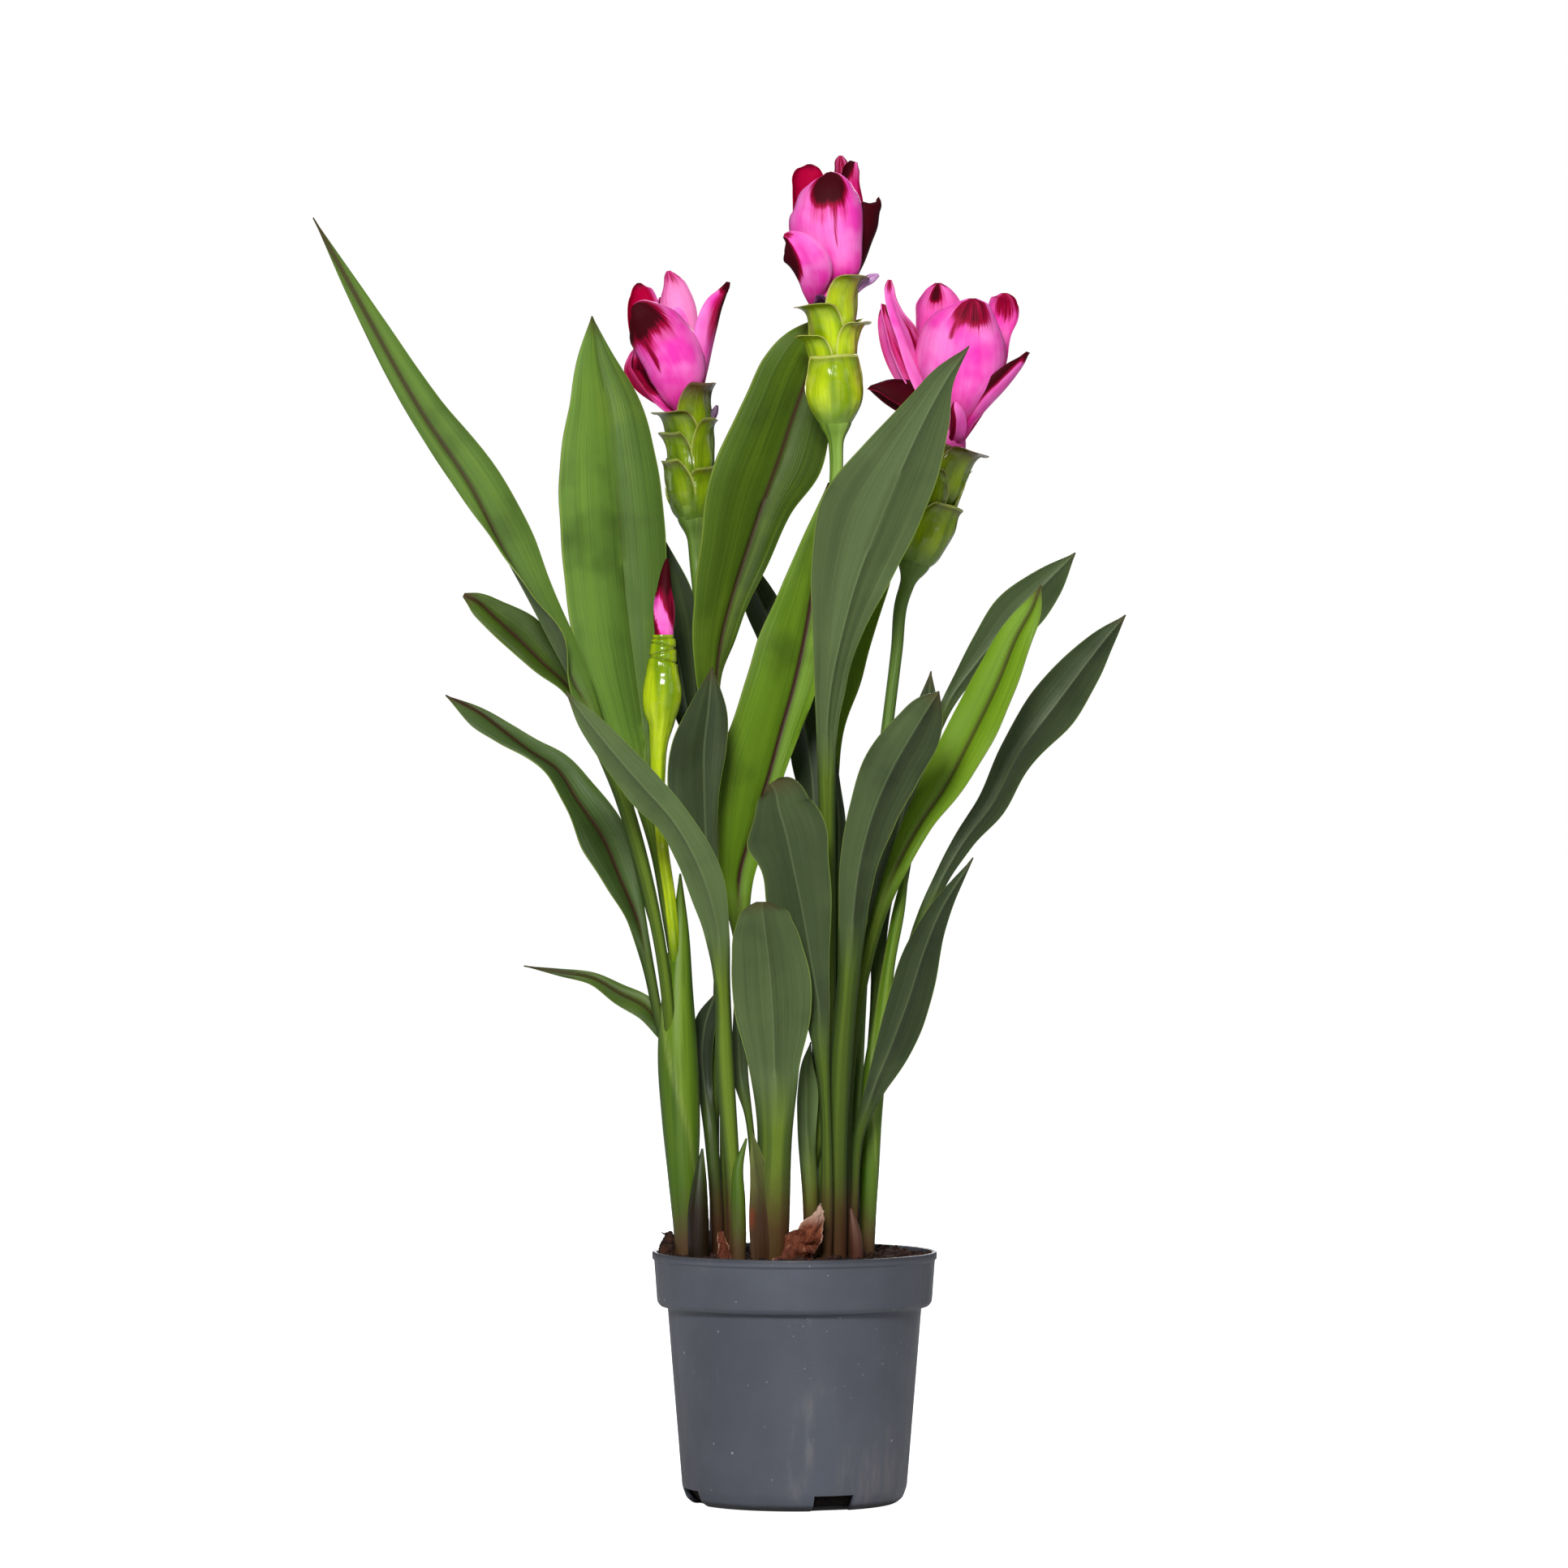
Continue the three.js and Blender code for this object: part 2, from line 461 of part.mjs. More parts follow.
// Flower spikes. scape is the bare stem, as rows of [x, y, z, radius], and the cone of green cups
// stands on its end, tilted to the right by lean degrees. A cup is its turn, in degrees round
// the cone from the front towards the right, then how high it starts, its length, and how far
// it reaches round the cone to each side. crownRise is where the pink crown stands on the cone.
// Its bracts are rows as of a leaf, and bow is how far their halves arch towards the front view.
const SPIKES = {
  middle: {
    scape: [
      [14, 5, 104, 3], [15, 4, 182, 3.5], [16, 2, 303, 3.5], [17, -3, 405, 3.5],
      [19.5, -6, 490, 3.5], [20.5, -6, 533, 3.5],
    ],
    lean: -1.5,
    crownRise: 63,
    cups: [
      { turn: 0, rise: 0, length: 41, span: 84, shape: "low" },
      { turn: 180, rise: 1, length: 41, span: 84, shape: "low" },
      { turn: -70, rise: 16, length: 36, span: 70, shape: "high" },
      { turn: 66, rise: 24, length: 34, span: 60, shape: "high" },
      { turn: -62, rise: 32, length: 35, span: 90, shape: "high" },
      { turn: 172, rise: 27, length: 34, span: 78, shape: "high" },
      { turn: 72, rise: 45, length: 36, span: 88, shape: "high" },
      { turn: 198, rise: 44, length: 28, span: 68, shape: "tight" },
    ],
    bracts: {
      front: { bow: 0.2, rows: [
        [23, -9, 598, 3.5, 3.5, 1, 1],
        [23, -15, 607, 6.5, 7, 3, 3],
        [22.5, -21, 617, 12, 10.5, 8, 7],
        [21, -24, 627, 19.5, 12.5, 14, 10],
        [20, -25, 637, 22.5, 14, 16, 12],
        [19.5, -25, 645.5, 21, 14, 14, 12],
        [18.5, -24, 652, 17, 12.5, 11, 9],
        [18, -22, 657.5, 11.5, 9.5, 7, 6],
        [17.5, -20, 660.5, 6.5, 6, 3, 3],
        [17, -19, 662.5, 1.5, 1.5],
      ] },
      front_low: { bow: 0.16, rows: [
        [10.5, -10, 596.5, 3, 3, 1, 1],
        [9, -17, 603.5, 5, 6.5, 3, 1],
        [7.5, -24, 611, 6, 11.5, 5],
        [5.5, -29, 618, 7.5, 12, 8, -1],
        [3, -31, 624, 9.5, 9.5, 9, -1],
        [0, -32, 628, 7, 6.5, 6],
        [-3, -32, 630.3, 3.5, 3.5, 2, 1],
        [-5.5, -32, 631, 1, 1],
      ] },
      right: { bow: 0.2, rows: [
        [27, -5, 599.5, 4, 1, -2, 3],
        [31, -2, 611, 5.5, -2.5, -5, 6],
        [34.5, -1, 619, 7.5, -3, -8, 8],
        [38, 0, 628, 9, -5, -10, 10],
        [41, 0, 636, 9.5, -5.5, -10, 10],
        [42, 0, 642.5, 9.5, -5, -9, 8],
        [43, 0, 646.5, 7.5, -3, -6, 5],
        [42.5, 0, 649, 3.5, -1, -2, 2],
        [41.5, 0, 650, 1, 1],
      ] },
      left_back: { bow: -0.2, small: true, rows: [
        [16, -3, 599.5, 3, 3, -1, -1],
        [11.5, 3, 615, 8, 5.5, -8, -3],
        [9, 7, 631, 9.5, 9, -12, -5],
        [7.5, 8, 645.5, 8.5, 10.5, -12, -6],
        [7, 8, 654.5, 8, 10.5, -10, -6],
        [7, 7, 660.5, 7.5, 8, -7, -5],
        [7.5, 6, 664.5, 4.5, 5, -3, -2],
        [7.5, 5, 666.5, 1.5, 1.5],
      ] },
      back: { bow: -0.2, small: true, rows: [
        [21.5, -1, 599.5, 3.5, 3.5, -1, -1],
        [23, 7, 615, 7.5, 7.5, -4, -4],
        [24.5, 13, 631, 9.5, 9, -7, -7],
        [25, 15, 647.5, 9.5, 7.5, -7, -6],
        [24.5, 15, 657.5, 6, 6.5, -4, -5],
        [23.5, 14, 664.5, 3.5, 3.5, -2, -2],
        [23, 13, 669, 2.5, 2.5, -1, -1],
        [23, 13, 671, 1, 1],
      ] },
      right_back: { bow: -0.2, small: true, rows: [
        [24, -3, 599, 3, 3, -1, -1],
        [27.5, 4, 615, 5, 4.5, -3, -3],
        [29, 7, 631, 7.5, 5.5, -5, -6],
        [29, 8, 647.5, 6.5, 5, -5, -5],
        [28.5, 8, 657.5, 6, 3.5, -4, -3],
        [28.5, 7, 664.5, 4, 3.5, -2, -2],
        [29.5, 6, 668, 2, 2],
      ] },
      behind: { bow: 0.2, small: true, rows: [
        [17.5, 0, 599.5, 3.5, 3.5, 1, 1],
        [16, 9, 615, 9.5, 9.5, -7, -7],
        [16, 14, 631, 14.5, 14, -13, -13],
        [16, 15, 643.5, 14, 14, -12, -12],
        [16.5, 15, 652, 9.5, 9.5, -7, -7],
        [17, 14, 658.5, 3.5, 3.5, -2, -2],
        [17, 14, 660.5, 1, 1],
      ] },
    },
  },
  left: {
    scape: [
      [-33, 30, 104, 3], [-34, 30, 182, 3], [-38, 32, 303, 3.5], [-42, 34, 384, 3.5],
      [-47, 38, 449, 3.5], [-50, 42, 485, 3.5],
    ],
    lean: -3,
    crownRise: 58,
    cups: [
      { turn: 60, rise: 0, length: 33, span: 88, shape: "low" },
      { turn: -70, rise: 1, length: 37, span: 80, shape: "low" },
      { turn: 190, rise: 2, length: 38, span: 84, shape: "low" },
      { turn: -52, rise: 16, length: 34, span: 62, shape: "tight" },
      { turn: 68, rise: 20, length: 36, span: 66, shape: "tight" },
      { turn: 180, rise: 26, length: 34, span: 74, shape: "tight" },
      { turn: -62, rise: 30, length: 33, span: 88, shape: "high" },
      { turn: 56, rise: 42, length: 32, span: 84, shape: "tight" },
    ],
    bracts: {
      front: { bow: 0.2, rows: [
        [-54, 38, 544, 5, 5, 1, 1],
        [-56, 31, 552.5, 10.5, 9.5, 5, 5],
        [-58.5, 26, 562.5, 14, 14.5, 9, 10],
        [-62.5, 23, 571.5, 14, 17, 10, 13],
        [-67.5, 21, 580, 13.5, 16, 10, 13],
        [-71.5, 20, 586.5, 13, 14, 9, 11],
        [-75.5, 19, 591.5, 9, 9.5, 5, 7],
        [-79, 19, 594.5, 5, 5.5, 2, 3],
        [-81, 19, 595.5, 1.5, 1.5],
      ] },
      left_low: { bow: 0.2, rows: [
        [-61, 42, 544, 3, 3, -1, 1],
        [-71.5, 41, 549, -1, 6.5, -5, 6],
        [-80.5, 41, 556.5, -3, 9.5, -8, 9],
        [-84.5, 41, 564.5, -3, 9.5, -8, 9],
        [-83, 41, 569.5, -1.5, 6.5, -5, 6],
        [-81, 41, 573, -0.5, 3, -2, 3],
        [-79.5, 41, 574.5, 1, 1],
      ] },
      right: { bow: 0.2, rows: [
        [-47.5, 43, 551, 3, 1, -2, 3],
        [-43.5, 41, 566.5, 7.5, -3, -7, 8],
        [-41.5, 41, 576.5, 9, -4, -8, 10],
        [-39, 41, 586.5, 9.5, -4, -8, 9],
        [-37, 40, 595, 8, -2.5, -6, 7],
        [-34.5, 40, 601.5, 5, -1, -3, 3],
        [-33.5, 40, 605.5, 2.5, 1, -1, 1],
        [-33, 40, 608, 1, 1],
      ] },
      back: { bow: -0.2, small: true, rows: [
        [-55.5, 46, 550.5, 3.5, 3.5, -1, -1],
        [-57, 51, 566.5, 9, 9, -5, -5],
        [-58, 54, 582.5, 10, 10, -7, -7],
        [-58.5, 55, 594, 9, 9.5, -6, -7],
        [-60, 55, 601.5, 7, 8, -5, -5],
        [-61.5, 54, 607.5, 4, 6, -2, -3],
        [-62.5, 54, 611.5, 2.5, 3, -1, -1],
        [-63, 54, 613.5, 1, 1],
      ] },
      left_back: { bow: -0.2, small: true, rows: [
        [-58, 44, 549.5, 3, 3, -1, -1],
        [-66, 48, 566.5, 8, 7.5, -8, -4],
        [-72.5, 50, 582.5, 9.5, 9, -11, -6],
        [-75.5, 50, 594, 8, 8, -10, -6],
        [-76.5, 49, 600.5, 6, 7, -6, -4],
        [-77.5, 48, 605, 3, 4.5, -3, -2],
        [-77.5, 48, 607.5, 1, 1],
      ] },
      right_back: { bow: -0.2, small: true, rows: [
        [-52, 46, 549.5, 3, 3, -1, -1],
        [-49.5, 50, 566.5, 7.5, 6, -4, -7],
        [-49, 51, 578.5, 7.5, 6, -4, -10],
        [-49.5, 51, 588.5, 5.5, 5.5, -3, -8],
        [-50, 50, 596.5, 3, 3, -1, -3],
        [-50, 50, 599.5, 1, 1],
      ] },
      behind: { bow: 0.2, small: true, rows: [
        [-56, 48, 549.5, 3, 3],
        [-61, 57, 566.5, 11.5, 10.5, -10, -8],
        [-63.5, 61, 580.5, 13, 12, -14, -12],
        [-65, 61, 591.5, 9, 9.5, -9, -8],
        [-66, 60, 598, 3.5, 4, -2, -2],
        [-66.5, 60, 600.5, 1, 1],
      ] },
    },
  },
  right: {
    scape: [
      [30, 19, 104, 3], [31, 18, 202, 3], [36, 17, 295, 3], [45, 15, 376, 3],
      [51, 14, 425, 3], [58, 13, 463, 3.5],
    ],
    lean: 18,
    crownRise: 62,
    cups: [
      { turn: -30, rise: 0, length: 24, span: 70, shape: "low" },
      { turn: 52, rise: 1, length: 40, span: 88, shape: "low" },
      { turn: 205, rise: 1, length: 37, span: 84, shape: "low" },
      { turn: -70, rise: 8, length: 26, span: 60, shape: "tight" },
      { turn: -40, rise: 24, length: 31, span: 70, shape: "tight" },
      { turn: 150, rise: 26, length: 34, span: 78, shape: "tight" },
      { turn: 66, rise: 36, length: 35, span: 88, shape: "high" },
      { turn: -50, rise: 38, length: 29, span: 84, shape: "tight" },
    ],
    bracts: {
      front: { bow: 0.2, rows: [
        [81.5, 4, 532.5, 3.5, 3.5, 1, 1],
        [81.5, -2, 541.5, 7.5, 6.5, 3, 3],
        [83, -9, 552, 17, 12, 11, 8],
        [84.5, -12, 563, 23.5, 20, 16, 14],
        [86, -13, 573.5, 25, 20, 17, 14],
        [87, -13, 582.5, 23, 17.5, 15, 11],
        [88, -12, 590, 17, 12.5, 9, 8],
        [88.5, -11, 595, 9.5, 8, 4, 4],
        [88.5, -10, 598, 5, 5, 1, 1],
        [88.5, -10, 599.5, 1.5, 1.5],
      ] },
      left: { bow: -0.15, rows: [
        [79, 9, 531, 3, 3],
        [72.5, 4, 543, 5, 5, 1, 4],
        [64.5, 1, 557.5, 5.5, 5.5, 2, 7],
        [58.5, 0, 570.5, 4.5, 6.5, 2, 9],
        [54, 0, 582.5, 3.5, 7.5, 2, 9],
        [50, 1, 592.5, 3, 4.5, 1, 5],
        [47.5, 3, 601, 2.5, 3, 1, 2],
        [47, 5, 606, 2, 2.5],
        [47.5, 6, 609, 1, 1],
      ] },
      left_out: { bow: 0.2, rows: [
        [78, 12, 531, 1.5, 1.5, -1, 1],
        [64, 13, 544, -1.5, 9, -5, 6],
        [51.5, 14, 558, -3, 12, -8, 10],
        [45.2, 14, 570.5, -3.5, 12, -9, 11],
        [42.5, 14, 581.5, -3, 9.5, -8, 9],
        [42.2, 14, 590, -1.5, 6, -4, 5],
        [44, 14, 597, 1, 1.5],
      ] },
      left_back: { bow: -0.2, small: true, rows: [
        [78, 14, 528.5, 3.5, 3.5, -1, -1],
        [74, 24, 554.5, 10.5, 9.5, -9, -5],
        [71.5, 28, 574.5, 11.5, 11.5, -12, -7],
        [71, 28, 588.5, 10.5, 11.5, -10, -7],
        [71.5, 27, 597, 10.5, 11.5, -8, -6],
        [71.5, 26, 602, 7.5, 8.5, -4, -4],
        [71.5, 25, 605.5, 4.5, 5, -1, -1],
        [71.5, 25, 607.5, 1.5, 1.5],
      ] },
      right_back: { bow: -0.2, small: true, rows: [
        [80.5, 13, 528.5, 3.5, 3.5, -1, -1],
        [91, 20, 554.5, 9, 9, -5, -6],
        [98.5, 24, 570.5, 10, 7.5, -6, -9],
        [102, 25, 582.5, 10, 5.5, -6, -9],
        [103.5, 24, 590.5, 8, 7.5, -5, -9],
        [104, 22, 597, 7, 7, -3, -6],
        [104.5, 20, 600.5, 5, 5, -1, -2],
        [104.5, 20, 602.5, 1.5, 1.5],
      ] },
      right_low: { bow: 0.2, rows: [
        [84, 7, 529.5, 3, 1, -2, 2],
        [90, 4, 538.5, 6.5, -3, -6, 6],
        [97, 2, 546.5, 9, -5.5, -9, 9],
        [104.5, 1, 554.5, 9, -6.5, -10, 10],
        [110.5, 0, 562, 7, -5, -8, 8],
        [114.5, 0, 568, 4, -2, -4, 4],
        [116.5, 0, 573, 1, 1],
      ] },
      left_low: { bow: 0.2, rows: [
        [78, 8, 530, 1.5, 1.5, -1, 1],
        [69, 5, 535.5, -2.5, 8, -5, 6],
        [60.5, 3, 539.5, -3, 14.5, -8, 10],
        [52, 2, 543.5, -2.5, 17, -8, 11],
        [45, 1, 548, -2, 15, -7, 9],
        [39.8, 1, 552.5, -1, 9.5, -4, 5],
        [36.8, 1, 555.3, 1, 1.5],
      ] },
      front_low: { bow: 0.15, rows: [
        [79.5, 6, 528.5, 3, 3],
        [81.5, -4, 535.5, 4, 4, 2, 2],
        [81.5, -8, 541.5, 3.5, 3.5, 2, 2],
        [80.5, -9, 545.5, 2.5, 2.5, 1, 1],
        [80, -9, 548, 1, 1],
      ] },
      behind: { bow: 0.2, small: true, rows: [
        [79.5, 17, 528.5, 3, 3],
        [84, 27, 550.5, 10.5, 10.5, -8, -8],
        [84.5, 32, 566.5, 14.5, 14, -14, -14],
        [85.5, 33, 580.5, 13, 12, -13, -13],
        [86, 32, 590, 8, 7.5, -7, -7],
        [86, 31, 595, 3.5, 3.5, -2, -2],
        [86, 31, 596.5, 1, 1],
      ] },
    },
  },
};

// Kinds of cup. foot is how far from the cone's axis it starts, and heading is its lean
// from upright in equal steps from its foot to its lip.
const CUP_SHAPES = {
  low: { foot: 3.5, heading: [46, 34, 18, 4, -2, 30] },
  high: { foot: 8.5, heading: [22, 12, 7, 4, 18, 100] },
  tight: { foot: 8.5, heading: [20, 10, 6, 3, 6, 50] },
  closed: { foot: 5, heading: [26, 14, 4, -4, -8, 12] },
};
const CONE_CORE = [[-9, 3.2], [-2, 4.6], [6, 7.6], [24, 9.5], [60, 7.5]];

// The spike still in bud: a green bulb closed by cups, and the pink crown rolled shut. Rows are
// of [x, y, z, radius].
const BUD = {
  scape: [
    [-59, -3, 267, 3], [-62, -4, 299, 3], [-66, -4, 328, 2.6], [-68, -4, 362, 2.6],
    [-67, -4, 380, 4.4], [-66.5, -4, 389, 6.4], [-66.5, -4, 397, 9], [-66.5, -4, 406, 9.2],
    [-66, -4, 416, 7.2], [-65.5, -4, 431, 6.6],
  ],
  cupFoot: [-66, -4, 390],
  cups: [
    { turn: 12, rise: 4, length: 29, span: 84, shape: "closed" },
    { turn: 190, rise: 9, length: 30, span: 84, shape: "closed" },
  ],
  crown: [
    [-66, -4, 431.5, 5.6], [-66, -4, 444, 6], [-65, -4, 456, 4.6], [-64, -4, 465, 2.6],
    [-63, -4, 471, 0.8],
  ],
};

// Brown scales and papery sheaths at the foot of the stalks, rows as of a leaf
const SCALES = {
  scale_front: { paint: "shootPurple", rows: [
    [-15, -47, 116, 6, 5, 3, 3],
    [-16, -48, 140, 6.5, 7, 5, 3],
    [-17, -48, 158, 5, 6, 4, 2],
    [-19, -49, 172, 3, 3, 2, 1],
    [-21, -49, 184, 0, 0],
  ] },
  sheath_dry: { paint: "sheath", rows: [
    [5, -43, 116, 8.5, 7.5, 2, 4],
    [4, -45, 125, 9, 8, 1, 5],
    [6, -44, 131, 8, 8, 3, 1],
    [9, -46, 137, 6, 5.5, 1, 3],
    [11, -45, 143, 3.5, 3, 1, 1],
    [12, -46, 148, 1, 1],
  ] },
  sheath_left: { paint: "sheath", rows: [
    [-35, -31, 116, 3.2, 3, 1, 1],
    [-35, -32, 126, 3.5, 2.5, 1, 1],
    [-36, -32, 134, 1, 1],
  ] },
};

// Finds where a row's point really is, from where it shows and its depth
function seen(x, y, z) {
  const reach = (y - EYE.y) / -EYE.y;
  return new THREE.Vector3(EYE.x + (x - EYE.x) * reach, y, EYE.z + (z - EYE.z) * reach);
}

// Returns a function that runs smoothly through every row. It takes a place, 0 at the first
// row and one more at each next row, and gives the row's numbers there.
function smoothRows(rows) {
  const last = rows.length - 1;
  const width = Math.max(...rows.map((row) => row.length));
  const full = rows.map((row) => [...row, ...Array(width - row.length).fill(0)]);
  const apart = full.slice(1).map((row, i) => (
    Math.hypot(row[0] - full[i][0], row[1] - full[i][1], row[2] - full[i][2])
  ));
  const pitch = (i, c) => (full[i + 1][c] - full[i][c]) / apart[i];
  const slope = (i, c) => {
    if (i === 0) return pitch(0, c);
    if (i === last) return pitch(last - 1, c);
    return (pitch(i - 1, c) * apart[i] + pitch(i, c) * apart[i - 1]) / (apart[i - 1] + apart[i]);
  };
  return (place) => {
    const i = Math.min(Math.max(Math.floor(place), 0), last - 1);
    const t = place - i;
    const arrive = t * t * (3 - 2 * t);
    return full[i].map((value, c) => (
      value + (full[i + 1][c] - value) * arrive
      + slope(i, c) * apart[i] * t * (1 - t) * (1 - t)
      - slope(i + 1, c) * apart[i] * t * t * (1 - t)
    ));
  };
}

// The direction in which rows run on at a place
function travelAt(at, place, last) {
  const [x0, y0, z0] = at(Math.max(place - 0.02, 0));
  const [x1, y1, z1] = at(Math.min(place + 0.02, last));
  return new THREE.Vector3(x1 - x0, y1 - y0, z1 - z0).normalize();
}

// Joins rings of points into one closed body, with a cap at each end. In a flat ring each quad
// is cut along the same diagonal on both faces.
function loft(rings, flat) {
  const count = rings[0].length;
  const points = rings.flat();
  const faces = [];
  for (let i = 0; i < rings.length - 1; i += 1) {
    for (let j = 0; j < count; j += 1) {
      const a = i * count + j;
      const b = i * count + ((j + 1) % count);
      const c = b + count;
      const d = a + count;
      if (flat && j >= count / 2) faces.push([a, b, d], [b, c, d]);
      else faces.push([a, b, c], [a, c, d]);
    }
  }
  [0, rings.length - 1].forEach((i, end) => {
    const middle = new THREE.Vector3();
    rings[i].forEach((point) => middle.addScaledVector(point, 1 / count));
    points.push(middle);
    for (let j = 0; j < count; j += 1) {
      const a = i * count + j;
      const b = i * count + ((j + 1) % count);
      faces.push(end ? [a, b, points.length - 1] : [b, a, points.length - 1]);
    }
  });
  return toSolid(points, faces);
}

// Makes a solid of points and faces, turned the right way out
function toSolid(points, faces) {
  let volume = 0;
  faces.forEach(([a, b, c]) => {
    volume += points[a].dot(new THREE.Vector3().crossVectors(points[b], points[c]));
  });
  const outward = volume < 0 ? faces.map(([a, b, c]) => [a, c, b]) : faces;
  return new wasm.Manifold(new wasm.Mesh({
    numProp: 3,
    vertProperties: new Float32Array(points.flatMap((point) => [point.x, point.y, point.z])),
    triVerts: new Uint32Array(outward.flat()),
  }));
}

// Makes a solid of a closed three.js shape
function geometryToSolid(geometry) {
  const bare = geometry.clone();
  bare.deleteAttribute("normal");
  bare.deleteAttribute("uv");
  const merged = mergeVertices(bare, 1e-4);
  return new wasm.Manifold(new wasm.Mesh({
    numProp: 3,
    vertProperties: new Float32Array(merged.attributes.position.array),
    triVerts: new Uint32Array(merged.index.array),
  }));
}

function solidToGeometry(solid) {
  const mesh = solid.getMesh();
  const geometry = new THREE.BufferGeometry();
  geometry.setAttribute("position", new THREE.BufferAttribute(mesh.vertProperties, 3));
  geometry.setIndex(new THREE.BufferAttribute(mesh.triVerts, 1));
  geometry.computeVertexNormals();
  return geometry;
}

function joined(solids) {
  return solids.reduce((whole, solid) => whole.add(solid));
}

// Keeps the largest piece of a joined or cut solid, without slivers
function largest(solid) {
  const pieces = solid.simplify(SLIVER).decompose();
  return pieces.reduce((best, piece) => (piece.volume() > best.volume() ? piece : best));
}

// Where a leaf's midrib is at a place
function midrib(leaf, at, place) {
  const [x, y, z] = at(place);
  const foot = leaf.rows[0][2];
  const height = (z - foot) / (leaf.rows[leaf.rows.length - 1][2] - foot);
  return seen(x, y + (leaf.lean ?? 0) * height * height, z);
}

// One section of a leaf: points along its front face and back along its back face. Each half
// bows, and the blade is thickest along the midrib. The stalk is nearly round.
function leafRing(leaf, at, place, grow) {
  const last = leaf.rows.length - 1;
  const [, , , left, right, leftBack = 0, rightBack = 0] = at(place);
  const centre = midrib(leaf, at, place);
  const travel = travelAt(at, place, last);
  const side = new THREE.Vector3(travel.z, 0, -travel.x).normalize();
  const onStalk = THREE.MathUtils.clamp(leaf.stalk - place, 0, 1);
  const twist = Math.tan(THREE.MathUtils.degToRad(leaf.turn ?? 0)) * (1 - onStalk);
  const arm = (half, back) => {
    const wide = half < 0 ? half : Math.max(half, TIP_HALF_WIDTH);
    return side.clone().multiplyScalar(wide).add(new THREE.Vector3(0, back, 0));
  };
  const leftArm = arm(left, 0).negate();
  leftArm.y += leftBack - left * twist;
  const rightArm = arm(right, rightBack + right * twist);
  const leftFace = new THREE.Vector3().crossVectors(travel, leftArm).normalize();
  const rightFace = new THREE.Vector3().crossVectors(rightArm, travel).normalize();
  const middleFace = leftFace.clone().add(rightFace).normalize();
  const bow = (leaf.bow ?? (leaf.shows === "upper" ? 0.1 : -0.1)) * (1 - onStalk);
  const thick = THREE.MathUtils.lerp(BLADE_HALF, Math.max(STALK_DEPTH * (left + right) / 2, BLADE_HALF), onStalk);
  const across = leaf.small ? 3 : 5;
  const front = [];
  const back = [];
  for (let i = 0; i < across; i += 1) {
    const v = (2 * i) / (across - 1) - 1;
    const [half, face] = v < 0 ? [leftArm, leftFace] : [rightArm, v > 0 ? rightFace : middleFace];
    const out = 1 + grow / half.length();
    const deep = EDGE_HALF + (thick - EDGE_HALF) * Math.sqrt(1 - v * v) + grow;
    const arch = bow * half.length() * 4 * Math.abs(v) * (1 - Math.abs(v));
    const point = centre.clone().addScaledVector(half, Math.abs(v) * out).addScaledVector(face, arch);
    front.push(point.clone().addScaledVector(face, deep));
    back.unshift(point.clone().addScaledVector(face, -deep));
  }
  return [...front, ...back];
}

// A leaf or bract in one piece, from its foot to its tip. Rows that bend much between them get
// one more section half way.
function leafSolid(leaf, grow = 0) {
  const at = smoothRows(leaf.rows);
  const ring = (place) => leafRing(leaf, at, place, grow);
  const rings = [ring(0)];
  for (let i = 1; i < leaf.rows.length; i += 1) {
    const [before, half, next] = [ring(i - 1), ring(i - 0.5), ring(i)];
    const bend = Math.max(...half.map((point, j) => (
      point.distanceTo(before[j].clone().lerp(next[j], 0.5))
    )));
    if (bend > BEND_LIMIT && !leaf.small) rings.push(half);
    rings.push(next);
  }
  return loft(rings, true);
}

// A ring of points about a centre, square to the direction of travel
function roundRing(centre, travel, radius, sides) {
  const side = new THREE.Vector3(travel.z, 0, -travel.x).normalize();
  const ahead = new THREE.Vector3().crossVectors(travel, side);
  return Array.from({ length: sides }, (_, j) => {
    const turn = (2 * Math.PI * j) / sides;
    return centre.clone().addScaledVector(side, Math.cos(turn) * radius)
      .addScaledVector(ahead, Math.sin(turn) * radius);
  });
}

// A round stem through rows of [x, y, z, radius]
function stemSolid(rows, grow = 0, sides = STEM_SIDES) {
  const at = smoothRows(rows);
  const last = rows.length - 1;
  return loft(rows.map(([x, y, z, radius], i) => {
    const travel = travelAt(at, i, last);
    const centre = seen(x, y, z);
    if (i === 0) centre.addScaledVector(travel, -grow);
    if (i === last) centre.addScaledVector(travel, grow);
    return roundRing(centre, travel, radius + grow, sides);
  }), false);
}

// The plain hole that a stalk or stem stands in, through the points of its lower end
function holeSolid(centres, radius) {
  const upright = new THREE.Vector3(0, 0, 1);
  const wide = (radius + GAP) / Math.cos(Math.PI / HOLE_SIDES);
  const rings = centres.map((centre, i) => {
    const point = centre.clone();
    if (i === 0) point.z -= GAP;
    return roundRing(point, upright, wide, HOLE_SIDES);
  });
  return loft(rings, false);
}

function leafHole(leaf) {
  const at = smoothRows(leaf.rows);
  const [first, second] = leaf.rows;
  return holeSolid([midrib(leaf, at, 0), midrib(leaf, at, 1)], Math.max(first[3], second[3]));
}

function stemHole(rows) {
  const low = rows.slice(0, rows[1][2] > SOIL_LEVEL + 20 ? 2 : 3);
  return holeSolid(low.map(([x, y, z]) => seen(x, y, z)), Math.max(...low.map((row) => row[3])));
}

